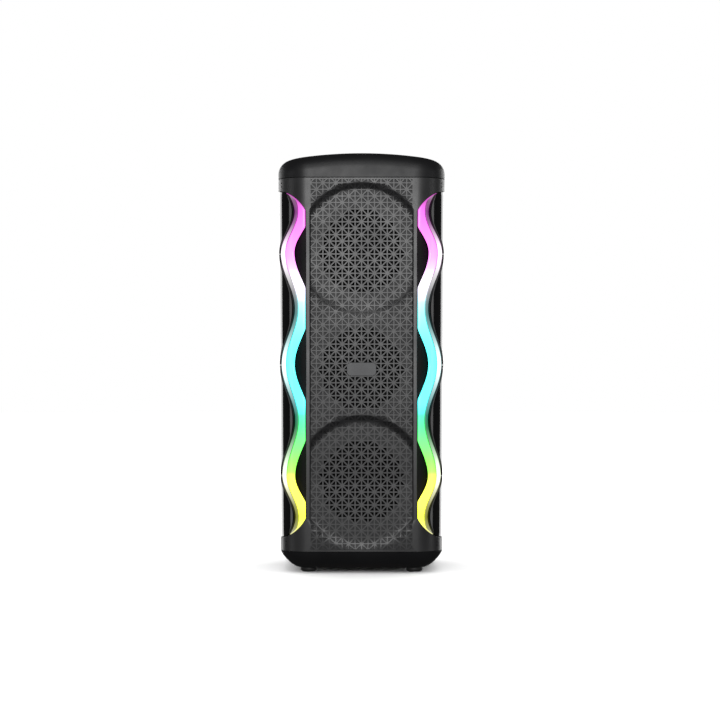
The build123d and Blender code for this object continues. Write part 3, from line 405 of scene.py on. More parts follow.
# --- Front grille ----------------------------------------------------------------------
def dish_depth(radius):
    """Depth of the dish at a distance from its centre."""
    if radius >= DISH_RIM:
        return 0.0
    for (outer, outer_depth), (inner, inner_depth) in zip(DISH_PROFILE, DISH_PROFILE[1:]):
        if radius >= inner:
            return inner_depth + (outer_depth - inner_depth) * (radius - inner) / (outer - inner)
    return DISH_PROFILE[-1][1]


def grille_depth(s, z):
    """Depth of the grille's face below the cabinet's outer surface."""
    run = abs(s)
    in_groove = GROOVE_LOW < z < GROOVE_HIGH and GROOVE_FLOOR[0] < run < GROOVE_FLOOR[1]
    deepest = GROOVE_DEPTH if in_groove else 0.0
    if run > DISH_LIMIT + 0.1:
        return deepest
    for height in DISHES:
        fall = max((height - z) / DISH_RIM, 0.0)
        deepest = max(deepest, dish_depth(hypot(s, z - height)) * (1.0 - LOWER_SOFTNESS * fall))
    return deepest


def clipped(polygon, normal, limit):
    """Part of a convex polygon on the inner side of a line."""
    result = []
    for index, point in enumerate(polygon):
        after = polygon[(index + 1) % len(polygon)]
        a = normal[0] * point[0] + normal[1] * point[1] - limit
        b = normal[0] * after[0] + normal[1] * after[1] - limit
        if a <= 0:
            result.append(point)
        if a * b < 0:
            part = a / (a - b)
            result.append((point[0] + part * (after[0] - point[0]), point[1] + part * (after[1] - point[1])))
    return result


def area(polygon):
    """Area of a polygon, negative where its points run clockwise."""
    return sum(a[0] * b[1] - b[0] * a[1] for a, b in zip(polygon, polygon[1:] + polygon[:1])) / 2


def inside(polygon, x, z, margin):
    """Is a point inside a convex polygon, or within a margin of it?"""
    turn = 1.0 if area(polygon) > 0 else -1.0
    for (ax, az), (bx, bz) in zip(polygon, polygon[1:] + polygon[:1]):
        length = hypot(bx - ax, bz - az)
        if turn * ((bx - ax) * (z - az) - (bz - az) * (x - ax)) / length < -margin:
            return False
    return True


FIELD = [(-400.0, -100.0), (400.0, -100.0), (400.0, 800.0), (-400.0, 800.0)]  # far round the speaker
SHORTEST_SIDE = 0.03
SMALLEST_POCKET = 1.5  # square millimetres


def convex(sides, inset=0.0):
    """Convex polygon inside lines given as (normal, limit), each moved in by inset."""
    polygon = FIELD
    for normal, limit in sides:
        polygon = clipped(polygon, normal, limit - inset)
        if len(polygon) < 3:
            return []
    cleaned = [p for p, q in zip(polygon, polygon[1:] + polygon[:1])
               if hypot(p[0] - q[0], p[1] - q[1]) > SHORTEST_SIDE]
    return cleaned if len(cleaned) > 2 else []


COLUMNS = (-9, 9)  # of the grid, from the middle of the front
ROWS = (-53, 8)  # of the grid, from GRID_HEIGHT


def triangle_sides():
    """Side lines of every triangular pocket of the pattern: two legs and a slanted one."""
    reach = RIB / 2
    half = sqrt(0.5)
    for column in range(*COLUMNS):
        for row in range(*ROWS):
            x, z = column * PITCH, GRID_HEIGHT + row * PITCH
            rising = (column + row) % 2 == 0
            for sign_x, sign_z in ((-1, 1), (1, -1)) if rising else ((1, 1), (-1, -1)):
                corner_x = x if sign_x > 0 else x + PITCH
                corner_z = z if sign_z > 0 else z + PITCH
                slanted = (sign_x * half, sign_z * half)
                limit = slanted[0] * corner_x + slanted[1] * corner_z + PITCH * half
                yield [((-sign_x, 0.0), -sign_x * corner_x - reach),
                       ((0.0, -sign_z), -sign_z * corner_z - reach), (slanted, limit - reach)]


def pockets():
    """Pockets of the grille: (outline, inner outline, is it a through hole)."""
    found = []
    edge = [((1.0, 0.0), PATTERN_HALF_WIDTH), ((-1.0, 0.0), PATTERN_HALF_WIDTH),
            ((0.0, -1.0), -LOW_SEAM - PATTERN_MARGIN), ((0.0, 1.0), HIGH_SEAM - PATTERN_MARGIN)]
    for sides in triangle_sides():
        base = convex(sides)
        centre = [sum(c) / len(base) for c in zip(*base)]
        through = any(hypot(centre[0], centre[1] - h) < HOLE_ZONE_RADIUS for h in HOLE_ZONES.values())
        outline = convex(sides + edge)
        inner = convex(sides + edge, BEVEL)
        if outline and inner and abs(area(inner)) > SMALLEST_POCKET:
            found.append((outline, inner, through))
    for s, z in CORNER_HOLES:
        for side in (-1, 1):
            rings = [[(side * s + r * cos(pi * i / 5), z + r * sin(pi * i / 5)) for i in range(10)]
                     for r in (CORNER_HOLE_RADIUS + BEVEL, CORNER_HOLE_RADIUS)]
            found.append((rings[0], rings[1], False))
    return found


FIRST_COLUMN = radians(5.0)  # uprights stand this far apart round the corner
FLARE_STEPS = 40
UPRIGHT_GAP = 0.9
EDGE_ROOM = 1.5
POINT_ROOM = 0.12
SMALLEST_FACE = 1e-7
RIB_STEPS = 30
RIB_PROFILE = ((79.9, 2.2), (82.25, 0.9), (82.25, 11.4), (79.9, 11.4))  # (along the surface, depth)
FRONT_RINGS = [radius for radius, _ in DISH_PROFILE]
BACK_RINGS = [DISH_PROFILE[index][0] for index in (0, 2, 4, 5)]


def grille_outline():
    """Outline of the grille along the surface, and the upright lines that cross its corners."""
    columns = [CORNER_X + REFERENCE * FIRST_COLUMN * index for index in range(1, 19)]
    arc = [(PANEL_EDGE, FLARE_START)]
    for index in range(1, FLARE_STEPS):
        x = PANEL_EDGE + (FLARE_TOP - PANEL_EDGE) * (index / FLARE_STEPS) ** 1.5
        arc.append((x, flare_distance(x)))
    flare = [(run_at(x), d) for x, d in arc] + [(run_at(FLARE_TOP), FLARE_END), (GRILLE_END, FLARE_END)]
    joints = []
    for s in columns:
        for (s0, d0), (s1, d1) in zip(flare, flare[1:]):
            if s0 < s <= s1:
                joints.append((s, d0 + (d1 - d0) * (s - s0) / (s1 - s0)))
                break
    flare = sorted(set(flare + joints))
    right = [(s, LOW_SEAM) for s in columns] + [(GRILLE_END, LOW_SEAM)]
    right += [(s, WAVE_MIDDLE - d) for s, d in reversed(flare)]
    right += [(s, WAVE_MIDDLE + d) for s, d in flare]
    right += [(GRILLE_END, HIGH_SEAM)] + [(s, HIGH_SEAM) for s in reversed(columns)]
    left = [(-s, z) for s, z in reversed(right)]
    uprights = []
    for s, d in joints:
        for side in (-1, 1):
            for low, high in ((LOW_SEAM, WAVE_MIDDLE - d), (WAVE_MIDDLE + d, HIGH_SEAM)):
                uprights.append([(side * s, low + UPRIGHT_GAP), (side * s, high - UPRIGHT_GAP)])
    return right + left, uprights


def moved_in(outline, distance):
    """Outline moved in by a distance, with mitred corners."""
    result = []
    for index, (s, z) in enumerate(outline):
        before, after = outline[index - 1], outline[(index + 1) % len(outline)]
        a = (s - before[0], z - before[1])
        b = (after[0] - s, after[1] - z)
        length_a, length_b = hypot(*a), hypot(*b)
        normal_a, normal_b = (-a[1] / length_a, a[0] / length_a), (-b[1] / length_b, b[0] / length_b)
        scale = distance / max(1 + normal_a[0] * normal_b[0] + normal_a[1] * normal_b[1], 0.4)
        result.append((s + (normal_a[0] + normal_b[0]) * scale, z + (normal_a[1] + normal_b[1]) * scale))
    return result


def grid_cell(x, z):
    """Column and row of the pattern's grid that a point stands in."""
    return floor(x / PITCH), floor((z - GRID_HEIGHT) / PITCH)


def ring_points(radii, steps):
    """Points of the dishes' rings that lie on the flat front, clear of its edges."""
    for height in DISHES:
        for radius in radii:
            for index in range(steps):
                angle = 2 * pi * index / steps
                x, z = radius * cos(angle), height + radius * sin(angle)
                if abs(x) <= DISH_LIMIT - EDGE_ROOM and LOW_SEAM + EDGE_ROOM < z < HIGH_SEAM - EDGE_ROOM:
                    yield x, z


def between_pockets(candidates, cells):
    """Those of the points that lie on ribs."""
    nearby = {}
    for outer, _, _ in cells:
        nearby.setdefault(grid_cell(*(sum(c) / len(outer) for c in zip(*outer))), []).append(outer)
    for x, z in candidates:
        if not any(inside(polygon, x, z, POINT_ROOM) for polygon in nearby.get(grid_cell(x, z), [])):
            yield x, z


class Drawing:
    """Flat drawing of points and lines that is filled with triangles."""

    def __init__(self):
        self.points = []
        self.edges = []

    def chain(self, polyline):
        """Adds an open line, and gives the numbers of its points."""
        numbers = list(range(len(self.points), len(self.points) + len(polyline)))
        self.points.extend(polyline)
        self.edges.extend(zip(numbers, numbers[1:]))
        return numbers

    def loop(self, polygon):
        """Adds a closed line, and gives the numbers of its points."""
        numbers = self.chain(polygon)
        self.edges.append((numbers[-1], numbers[0]))
        return numbers

    def filled(self, rim):
        """Points, triangles inside the rim, and the drawn points that each point stands for."""
        result = delaunay_2d_cdt([Vector(p) for p in self.points], self.edges, [rim], 1, 1e-5)
        return result[0], result[2], result[3]


def solid_triangles(flat, triangles, owners):
    """Triangles that have an area and don't fill one pocket."""
    for triangle in triangles:
        shared = set.intersection(*(owners.get(i, set()) for i in triangle))
        if not shared and abs(area([tuple(flat[i]) for i in triangle])) >= SMALLEST_FACE:
            yield triangle


def lowered(points, flat, numbers, depth):
    """Adds some of the flat points at a depth below the grille's face, and gives their numbers."""
    first = len(points)
    points.extend(skin_point(s, z, grille_depth(s, z) + depth) for s, z in (flat[i] for i in numbers))
    return list(range(first, len(points)))


def add_grille_front(points, faces, uprights, rim, cells, drawing):
    """Front face, bevelled at the rim and round every pocket. Gives its flat points, rim and loops."""
    loops = [(drawing.loop(outer), drawing.loop(inner), through) for outer, inner, through in cells]
    for run in GROOVE_LINES:
        for side in (-1, 1):
            drawing.chain([(side * run, GROOVE_LOW), (side * run, GROOVE_HIGH)])
    drawing.points.extend(between_pockets(ring_points(FRONT_RINGS, 360), cells))
    for line in uprights:
        drawing.chain(line)
    drawing.loop(moved_in([drawing.points[i] for i in rim], RIM_BEVEL_WIDTH))

    flat, triangles, origins = drawing.filled(rim)
    place = {source: index for index, sources in enumerate(origins) for source in sources}
    rim = [place[i] for i in rim]
    loops = [([place[i] for i in inner], through) for _, inner, through in loops]
    extra, owners = {}, {}
    for number, (inner, _) in enumerate(loops):
        for i in inner:
            extra[i] = BEVEL
            owners.setdefault(i, set()).add(number)
    extra.update((i, RIM_BEVEL_DEPTH) for i in rim)
    for index, (s, z) in enumerate(flat):
        points.append(skin_point(s, z, grille_depth(s, z) + extra.get(index, 0.0)))
    faces.extend(tuple(reversed(triangle)) for triangle in solid_triangles(flat, triangles, owners))
    return flat, rim, loops


def add_grille_back(points, faces, uprights, flat, rim, holes):
    """Back face, coarse, with the same through holes, and the rim's side wall."""
    drawing = Drawing()
    back_rim = lowered(points, flat, rim, SKIN)
    known, owner = {}, {}
    for hole, (numbers, kept) in enumerate([(rim, back_rim)] + holes):
        for source, number in zip(drawing.loop([tuple(flat[i]) for i in numbers]), kept):
            known[source] = number
            if hole > 0:
                owner[source] = hole
    drawing.points.extend(ring_points(BACK_RINGS, 96))
    for line in uprights:
        drawing.chain(line)
    back, triangles, origins = drawing.filled(list(range(len(rim))))
    numbers, owners = [], {}
    for index, sources in enumerate(origins):
        matches = [known[source] for source in sources if source in known]
        numbers.append(matches[0] if matches else lowered(points, back, [index], SKIN)[0])
        owners[index] = {owner[source] for source in sources if source in owner}
    faces.extend(tuple(numbers[i] for i in triangle) for triangle in solid_triangles(back, triangles, owners))
    strip(faces, back_rim, rim)


def build_grille():
    """Perforated front: pockets all over it, and through holes in three round zones."""
    outline, uprights = grille_outline()
    points, faces, kinds = [], [], []
    drawing = Drawing()
    flat, rim, loops = add_grille_front(points, faces, uprights, drawing.loop(outline), pockets(), drawing)
    kinds += [0] * len(faces)
    holes = []
    for top, through in loops:
        bottom = lowered(points, flat, top, SKIN if through else POCKET_DEPTH)
        strip(faces, top, bottom)
        if through:
            holes.append((top, bottom))
        else:
            faces.append(tuple(bottom))
        # Blind pockets take the darker recess copy of the grille plastic and through holes the near-black hole
        # copy: painted shade in both.
        kinds += [2 if through else 1] * (len(faces) - len(kinds))
    add_grille_back(points, faces, uprights, flat, rim, holes)

    # Deep ribs along the straight edges, seen from the side through the light channel.
    for side in (-1, 1):
        rows = []
        for i in range(RIB_STEPS + 1):
            z = WAVE_MIDDLE - FLARE_START + 2 * FLARE_START * i / RIB_STEPS
            add_row(points, rows, [skin_point(side * s, z, depth) for s, depth in RIB_PROFILE])
        loft(faces, rows, side > 0)
    kinds += [0] * (len(faces) - len(kinds))

    materials = [SLOT_MATERIALS[name] for name in ("grille_plastic", "grille_recess", "grille_hole")]
    piece = make_object("grille_front", points, faces, materials, 28.0, kinds)
    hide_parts("front_grille")


build_grille()


# --- Grille cloths ---------------------------------------------------------------------
CLOTH_RADIUS = 64.5
CLOTH_RINGS = 10
CLOTH_SIDES = 60
CLOTH_SAG = 0.15


def circle(radius, sides, x=0.0, y=0.0):
    """Points round a circle."""
    return [(x + radius * cos(2 * pi * i / sides), y + radius * sin(2 * pi * i / sides))
            for i in range(sides)]


def disc_faces(rows):
    """Faces of a disc whose middle is point 0, through its rings from the inside out."""
    faces = [(0, a, b) for a, b in zip(rows[0], rows[0][1:] + rows[0][:1])]
    for inner, outer in zip(rows, rows[1:]):
        strip(faces, outer, inner)
    return faces


def build_cloth(name, z):
    """Cloth disc stretched behind one hole zone, where the CAD solid has it."""
    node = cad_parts["grille_cloths"]
    corners = [node.matrix_world @ v.co / MM for v in node.data.vertices]
    depths = [c.y for c in corners if abs(c.z - z) <= CLOTH_RADIUS]
    middle = (min(depths) + max(depths)) / 2
    points, rows = [(0.0, middle + CLOTH_SAG, z)], []
    for ring in range(1, CLOTH_RINGS + 1):
        share = ring / CLOTH_RINGS
        depth = middle + CLOTH_SAG * (1 - share * share)
        add_row(points, rows, [(x, depth, z + up) for x, up in circle(CLOTH_RADIUS * share, CLOTH_SIDES)])
    cloth = SLOT_MATERIALS["speaker_cloth"]
    piece = make_object(f"grille_cloth_{name}", points, disc_faces(rows), [cloth], 35.0)
    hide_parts("grille_cloths")


for zone, zone_height in HOLE_ZONES.items():
    build_cloth(zone, zone_height)


# --- Light bands -----------------------------------------------------------------------
# Display colour of the lit face at each height.
LIGHT_STEPS = (
    (61.6, (224, 223, 203)), (70.6, (255, 255, 96)), (79.6, (251, 255, 73)), (88.6, (255, 255, 115)),
    (133.7, (255, 255, 115)), (142.7, (232, 255, 123)), (151.7, (202, 251, 110)), (169.7, (170, 255, 119)),
    (178.7, (154, 252, 141)), (196.8, (138, 252, 154)), (214.8, (112, 255, 186)), (223.8, (76, 236, 176)),
    (241.8, (101, 255, 242)), (250.8, (128, 255, 255)), (332.0, (128, 255, 255)), (350.0, (140, 255, 255)),
    (377.0, (169, 255, 254)), (395.0, (204, 255, 255)), (404.0, (223, 252, 255)), (413.1, (250, 250, 255)),
    (440.0, (255, 252, 255)), (449.1, (253, 238, 255)), (458.1, (253, 216, 254)), (467.1, (253, 190, 252)),
    (481.0, (254, 178, 252)), (495.0, (254, 164, 250)), (512.2, (252, 148, 248)), (530.2, (248, 132, 246)),
    (548.2, (240, 108, 238)), (557.2, (198, 66, 181)),
)
LIGHT_LOW = 50.0
LIGHT_HIGH = 570.0
LIGHT_STOPS = 31
BOOST = 2.4  # how much stronger than white a full channel shines


def linear(value):
    """Linear light of a display value from 0 to 255."""
    share = value / 255.0
    return share / 12.92 if share <= 0.04045 else ((share + 0.055) / 1.055) ** 2.4


def light_at(z):
    """Display colour of the light at a height."""
    if z <= LIGHT_STEPS[0][0]:
        return LIGHT_STEPS[0][1]
    for (low, a), (high, b) in zip(LIGHT_STEPS, LIGHT_STEPS[1:]):
        if z <= high:
            part = (z - low) / (high - low)
            return tuple(p + (q - p) * part for p, q in zip(a, b))
    return LIGHT_STEPS[-1][1]


def glowing(name, colour_at, strength):
    """Lit diffuser plastic whose colour runs along its height."""
    material, nodes, links, shader = new_material(name)
    place = object_place(nodes)
    axes = nodes.new("ShaderNodeSeparateXYZ")
    links.new(place, axes.inputs[0])
    share = span(nodes, links, axes.outputs["Z"], 0.0, 1.0, LIGHT_LOW * MM, LIGHT_HIGH * MM)
    heights = [LIGHT_LOW + (LIGHT_HIGH - LIGHT_LOW) * i / LIGHT_STOPS for i in range(LIGHT_STOPS + 1)]
    stops = [(i / LIGHT_STOPS, colour_at(z)) for i, z in enumerate(heights)]
    links.new(ramp(nodes, links, share, stops), shader.inputs["Emission Color"])
    shader.inputs["Emission Strength"].default_value = strength
    links.new(span(nodes, links, grain(nodes, links, place, 60.0, 3.0), 0.2, 0.3), shader.inputs["Roughness"])
    shader.inputs["Base Color"].default_value = (0.06, 0.06, 0.06, 1.0)
    relief = add_node(nodes, "ShaderNodeBump", Strength=0.06, Distance=FINE_RELIEF)
    links.new(grain(nodes, links, place, 900.0), relief.inputs["Height"])
    links.new(relief.outputs["Normal"], shader.inputs["Normal"])
    return material


def front_colour(z):
    """Lit face, whose full channels are stronger than the display shows."""
    result = []
    for c in light_at(z):
        full = min(max((c - 232.0) / 23.0, 0.0), 1.0)
        result.append(min(linear(c) * (1.0 / BOOST + (1.0 - 1.0 / BOOST) * full * full), 1.0))
    return tuple(result)


def ridge_glow_painted_shade(z):
    """Deep tone of the line between face and side: painted shade in the crease."""
    return tuple(linear(c) ** 2.6 * 0.5 for c in light_at(z))


def side_glow_painted_light(z):
    """Outer side glow with painted light: nearly white, a painted highlight, where the wave swings out, and
    deep, painted shade, where it swings in.
    """
    base = [linear(c) for c in light_at(z)]
    deep = tuple(c ** 1.6 * 0.22 for c in base)
    pale = tuple(0.8 + 0.4 * c for c in base)
    # The blend paints a highlight where the band swings out and shade where it swings in.
    blend = ((wave(z) + 1) / 2) ** 1.3
    return tuple(d + (p - d) * blend for d, p in zip(deep, pale))


# The front face is the band's own light. The ridge and back faces glow with painted shade. The side face glows
# with a painted highlight and painted shade.
GLOWS = [glowing("diffuser_face", front_colour, BOOST), glowing("diffuser_ridge_painted_shade", ridge_glow_painted_shade, 1.0),
         glowing("diffuser_side_painted_light", side_glow_painted_light, 1.0), glowing("diffuser_back", ridge_glow_painted_shade, 0.8)]
FACE, RIDGE, SIDE, BACK = range(4)
BAND_STEPS = 230
CROWDING = 0.25  # share of the rows that crowd towards the band's ends
BAND_BACK = 4.5


def band_profile(z):
    """Section of the right light band at a height: (along the surface, depth, glow)."""
    inner = max(swung(BAND_INNER, z), PANEL_EDGE + 1.5, flare_x(abs(z - WAVE_MIDDLE) + 0.6) + 0.2)
    outer = max(swung(BAND_OUTER, z), inner + 0.5)
    a, b = run_at(inner), run_at(outer)
    r = min(max(run_at(swung(BAND_RIDGE, z)), a + 0.2 * (b - a)), b - 0.12 * (b - a))
    e = min(1.0, (b - a) * 0.1)
    return [
        (a, BAND_BACK, FACE), (a, 2.2, FACE), (a + 0.35 * e, 1.35, FACE), (a + 1.0 * e, 0.85, FACE),
        (a + 2.2 * e, 0.66, FACE), (a + (r - a) * 0.6, 0.62, FACE), (r - 1.9 * e, 0.62, RIDGE),
        (r - 0.3 * e, 0.8, RIDGE), (r + 0.2 * e, 0.95, SIDE), (r + (b - r) * 0.45, 1.5, SIDE),
        (b - 0.15 * (b - r), 2.4, SIDE), (b, 3.0, SIDE), (b, BAND_BACK, BACK),
    ]


def build_band(side, name):
    """Wavy lit diffuser in the channel of one front corner."""
    low, high = (corner.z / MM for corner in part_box(f"wave_diffuser_{name}"))
    points, faces, kinds, rows = [], [], [], []
    for i in range(BAND_STEPS + 1):
        z = (low + (high - low) * (0.5 - 0.5 * cos(pi * i / BAND_STEPS)) * CROWDING
             + (high - low) * i / BAND_STEPS * (1 - CROWDING))
        profile = band_profile(z)
        add_row(points, rows, [skin_point(side * s, z, depth) for s, depth, _ in profile])
        if i > 0:
            kinds += [glow for _, _, glow in profile]
    loft(faces, rows, side > 0)
    kinds += [FACE, FACE]
    piece = make_object(f"light_band_{name}", points, faces, GLOWS, 24.0, kinds)
    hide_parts(f"wave_diffuser_{name}")


for hand, hand_name in SIDES:
    build_band(hand, hand_name)


# --- Side panels -----------------------------------------------------------------------
PANEL_GAP = 0.3
PANEL_LIMIT = FLARE_END - PANEL_GAP
PANEL_STEPS = 200
PANEL_COLUMNS = 22
CORNER_END = CORNER_X + QUARTER
REAR_STRIP = 30.0
EDGE_FALL = 0.35


def panel_heights(low, high):
    """Heights of a side panel's rows, close together beside the light opening."""
    opening_low, opening_high = WAVE_MIDDLE - PANEL_LIMIT, WAVE_MIDDLE + PANEL_LIMIT
    heights = [low, low + 0.4]
    heights += [low + 4 + (opening_low - 0.02 - low - 4) * i / 3 for i in range(4)]
    heights += [opening_low + 2 * PANEL_LIMIT * i / PANEL_STEPS for i in range(PANEL_STEPS + 1)]
    heights += [opening_high + 0.02 + (high - 4 - opening_high - 0.02) * i / 3 for i in range(4)]
    return heights + [high - 0.4, high]


def panel_start(z):
    """Front edge of a side panel at a height, along the surface."""
    distance = abs(z - WAVE_MIDDLE)
    if distance > PANEL_LIMIT + 0.01:
        return GRILLE_END + PANEL_GAP
    return max(run_at(swung(BAND_OUTER, z)) + 1.0, run_at(flare_x(distance + PANEL_GAP)) + 0.3)


def build_side_panel(side, name):
    """Glossy panel from the light band round to the rear shell, with softened edges."""
    low, high = (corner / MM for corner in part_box(f"side_panel_{name}"))
    end = CORNER_END + high.y - CORNER_Y
    heights = panel_heights(low.z, high.z)
    points, faces, rows = [], [], []
    for z in heights:
        start = panel_start(z)
        trim = EDGE_FALL if z in (heights[0], heights[-1]) else 0.0
        across = [start, start + 0.12, start + 0.5, end - REAR_STRIP, end - 0.5, end]
        across += [start + 0.5 + (CORNER_END + 4 - start - 0.5) * i / PANEL_COLUMNS
                   for i in range(1, PANEL_COLUMNS + 1)]
        front = [(s, trim + (0.4 if s == start else 0.12 if s < start + 0.2 else EDGE_FALL if s == end else 0.0))
                 for s in sorted(across)]
        middle = (start + CORNER_X + QUARTER) / 2
        behind = [(s, SKIN) for s in (end, end - REAR_STRIP, CORNER_END, middle, start)]
        add_row(points, rows, [skin_point(side * s, z, depth) for s, depth in front + behind])
    loft(faces, rows, side > 0)
    piece = make_object(f"side_cover_{name}", points, faces, [SLOT_MATERIALS["side_gloss"]], 30.0)
    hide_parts(f"side_panel_{name}")


for hand, hand_name in SIDES:
    build_side_panel(hand, hand_name)


# --- Bottom cap ------------------------------------------------------------------------
CORNER_STEPS = 14
EDGE_STEPS = 6
CUP_WALL = 3.0
CUP_ROUND = 0.35
CUP_INNER_HEIGHTS = (28.0, 22.0, 16.0, 12.0)
CUP_FLOOR = 10.0
FLAT_OUTER = 30.0  # rings in the flat underside, as insets from the cabinet's side
FLAT_INNER = 34.0


def plan(z, inset):
    """Plan of the cabinet at a height, in by inset: points counter-clockwise from the right."""
    grow = growth(z) - inset
    half_x, half_y = HALF_WIDTH + grow, HALF_DEPTH + grow
    front, rear = CORNER_RADIUS + grow, REAR_RADIUS + grow
    corners = ((half_x - rear, half_y - rear, rear, 0.0), (rear - half_x, half_y - rear, rear, 90.0),
               (front - half_x, front - half_y, front, 180.0), (half_x - front, front - half_y, front, 270.0))
    turned = []
    for x, y, radius, start in corners:
        for step in range(CORNER_STEPS + 1):
            angle = radians(start + 90.0 * step / CORNER_STEPS)
            turned.append((x + radius * cos(angle), y + radius * sin(angle)))
    result = []
    for index, (a, b) in enumerate(zip(turned, turned[1:] + turned[:1])):
        result.append(a)
        if index % (CORNER_STEPS + 1) == CORNER_STEPS:
            result.extend((a[0] + (b[0] - a[0]) * i / EDGE_STEPS, a[1] + (b[1] - a[1]) * i / EDGE_STEPS)
                          for i in range(1, EDGE_STEPS))
    return result


def cup_inset(z):
    """How far the cup's side stands in from the cabinet's at a height."""
    for (low, low_inset), (high, high_inset) in zip(CUP_PROFILE, CUP_PROFILE[1:]):
        if z <= high:
            part = (z - low) / (high - low)
            return low_inset + (high_inset - low_inset) * part
    return 0.0


def build_bottom_cap():
    """Cup with a rounded underside, up its outside and down its inside."""
    low, high = (corner.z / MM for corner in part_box("bottom_cap"))
    stages = [(low, FLAT_INNER), (low, FLAT_OUTER)]
    stages += [(z, cup_inset(z)) for z in CUP_HEIGHTS]
    stages += [(high - CUP_ROUND, 0.0), (high, CUP_ROUND), (high, CUP_WALL)]
    stages += [(z, cup_inset(z - CUP_WALL) + CUP_WALL) for z in CUP_INNER_HEIGHTS]
    stages += [(CUP_FLOOR, FLAT_OUTER + 2.0), (CUP_FLOOR, FLAT_INNER)]
    points, faces, rows = [], [], []
    for z, inset in stages:
        add_row(points, rows, [(x, y, z) for x, y in plan(z, inset)])
    loft(faces, rows)
    piece = make_object("bottom_cup", points, faces, [SLOT_MATERIALS["cap_plastic"]], 32.0)
    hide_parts("bottom_cap")


build_bottom_cap()


# --- Feet ------------------------------------------------------------------------------
FOOT_RADIUS = 12.5
FOOT_SIDES = 48
FOOT_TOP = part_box("rubber_feet")[1].z / MM
# Half section: screw hole, seat, rounded sole and side.
FOOT_PROFILE = ((2.15, FOOT_TOP), (2.15, 4.0), (4.6, 4.0), (5.0, 3.6), (5.0, 0.35), (5.35, 0.0), (8.9, 0.0),
                (10.2, 0.3), (11.2, 0.95), (12.0, 2.0), (12.4, 3.3), (FOOT_RADIUS, 4.6), (12.45, 5.8),
                (12.2, 6.9), (11.9, FOOT_TOP))


def build_feet():
    """Four turned rubber feet with a recessed screw seat."""
    low, high = (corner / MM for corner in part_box("rubber_feet"))
    points, faces = [], []
    for x in (low.x + FOOT_RADIUS, high.x - FOOT_RADIUS):
        for y in (low.y + FOOT_RADIUS, high.y - FOOT_RADIUS):
            rows = []
            for radius, z in FOOT_PROFILE:
                add_row(points, rows, [(*place, z) for place in circle(radius, FOOT_SIDES, x, y)])
            for a, b in zip(rows, rows[1:] + rows[:1]):
                strip(faces, a, b)
    piece = make_object("feet", points, faces, [SLOT_MATERIALS["foot_rubber"]], 40.0)
    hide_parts("rubber_feet")


build_feet()


# --- Stage, light and camera -----------------------------------------------------------
MIDDLE = (0.0, 0.0, 0.31)
FLOOR_RADII = (1.0, 3.0, 9.0)
FLOOR_SIDES = 64
CAMERA_DISTANCE = 3.0  # from the widest section of the front corners
CAMERA_X = -0.0023
CAMERA_HEIGHT = 0.317
SENSOR = 36.0
FRAME_WIDTH = 1.0814
SCENE = bpy.context.scene


def stage_floor():
    """Pale floor that only the camera sees, so it casts no light on the speaker."""
    points, rows = [(0.0, 0.0, 0.0)], []
    for radius in FLOOR_RADII:
        add_row(points, rows, [(x, y, 0.0) for x, y in circle(radius, FLOOR_SIDES)])
    faces = [(0, a, b) for a, b in zip(rows[0], rows[0][1:] + rows[0][:1])]
    for inner, outer in zip(rows, rows[1:]):
        strip(faces, inner, outer)
    mesh = bpy.data.meshes.new("floor")
    mesh.from_pydata(points, [], faces)
    material, nodes, links, shader = new_material("floor_paper")
    tone = grain(nodes, links, object_place(nodes), 6.0)
    stops = [(0.3, (0.79, 0.79, 0.79)), (0.7, (0.81, 0.81, 0.81))]
    links.new(ramp(nodes, links, tone, stops), shader.inputs["Base Color"])
    shader.inputs["Roughness"].default_value = 0.95
    shader.inputs["Specular IOR Level"].default_value = 0.0
    mesh.materials.append(material)
    plane = bpy.data.objects.new("floor", mesh)
    SCENE.collection.objects.link(plane)
    plane.visible_glossy = False
    plane.visible_diffuse = False
    return plane


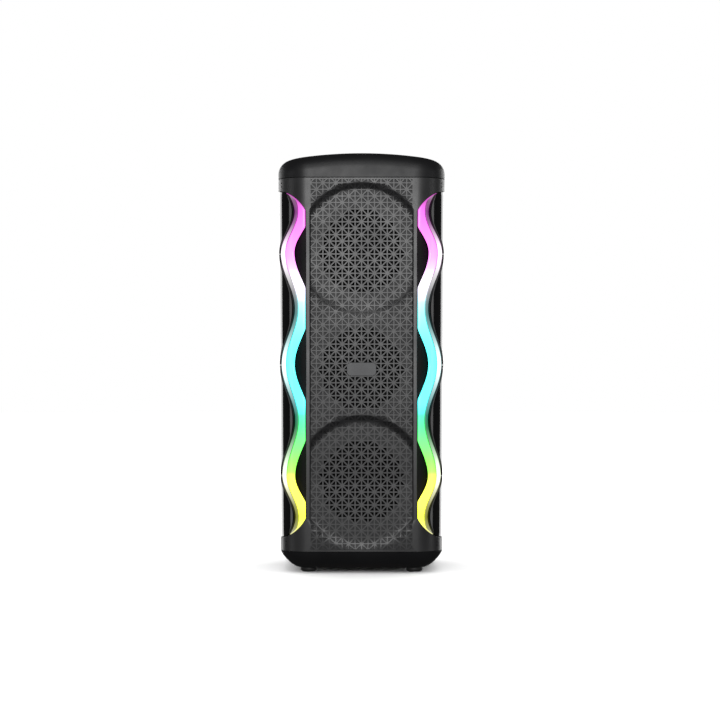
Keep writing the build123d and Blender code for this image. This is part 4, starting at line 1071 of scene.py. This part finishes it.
def softbox(name, place, size, power):
    """Soft rectangular light that faces the speaker's middle, unseen by the camera."""
    light = bpy.data.lights.new(name, "AREA")
    light.shape = "RECTANGLE"
    light.size, light.size_y = size
    light.energy = power
    lamp = bpy.data.objects.new(name, light)
    SCENE.collection.objects.link(lamp)
    lamp.location = place
    lamp.visible_camera = False
    lamp.rotation_euler = (Vector(MIDDLE) - lamp.location).to_track_quat("-Z", "Y").to_euler()


def light_floor(plane):
    """Broad sun for the floor alone, which leaves a soft shadow under the speaker."""
    sun = bpy.data.lights.new("floor_light", "SUN")
    sun.energy = 4.1
    sun.angle = radians(130.0)
    lamp = bpy.data.objects.new("floor_light", sun)
    SCENE.collection.objects.link(lamp)
    lamp.rotation_euler = (radians(-14.0), 0.0, 0.0)
    floor_only = bpy.data.collections.new("floor_only")
    floor_only.objects.link(plane)
    lamp.light_linking.receiver_collection = floor_only


def white_ground():
    """World that the camera sees as white, and that hardly lights the speaker."""
    world = bpy.data.worlds.new("studio")
    SCENE.world = world
    world.use_nodes = True
    nodes, links = world.node_tree.nodes, world.node_tree.links
    background = nodes["Background"]
    background.inputs["Color"].default_value = (1.0, 1.0, 1.0, 1.0)
    path = nodes.new("ShaderNodeLightPath")
    strength = span(nodes, links, path.outputs["Is Camera Ray"], 0.05, 1.0, 0.0, 1.0)
    links.new(strength, background.inputs["Strength"])
    SCENE.view_settings.view_transform = "Standard"


floor_plane = stage_floor()
softbox("front_box", (0.0, -2.6, 0.80), (1.3, 1.0), 38.0)
softbox("upper_box", (0.0, -2.0, 2.1), (1.6, 0.9), 11.0)
for hand in (-1, 1):
    softbox("side_strip", (hand * 1.9, -0.7, 0.35), (0.5, 1.3), 3.0)
    softbox("rim_box", (hand * 1.9, 2.1, 0.45), (1.5, 1.8), 26.0)
    softbox("back_box", (hand * 0.8, 2.8, 0.55), (1.0, 1.6), 14.0)
light_floor(floor_plane)
white_ground()

camera_data = bpy.data.cameras.new("camera")
camera_data.sensor_width = SENSOR
camera_data.lens = SENSOR * CAMERA_DISTANCE / FRAME_WIDTH
camera = bpy.data.objects.new("camera", camera_data)
SCENE.collection.objects.link(camera)
camera.location = (CAMERA_X, CORNER_Y * MM - CAMERA_DISTANCE, CAMERA_HEIGHT)
camera.rotation_euler = (pi / 2, 0.0, 0.0)
SCENE.camera = camera
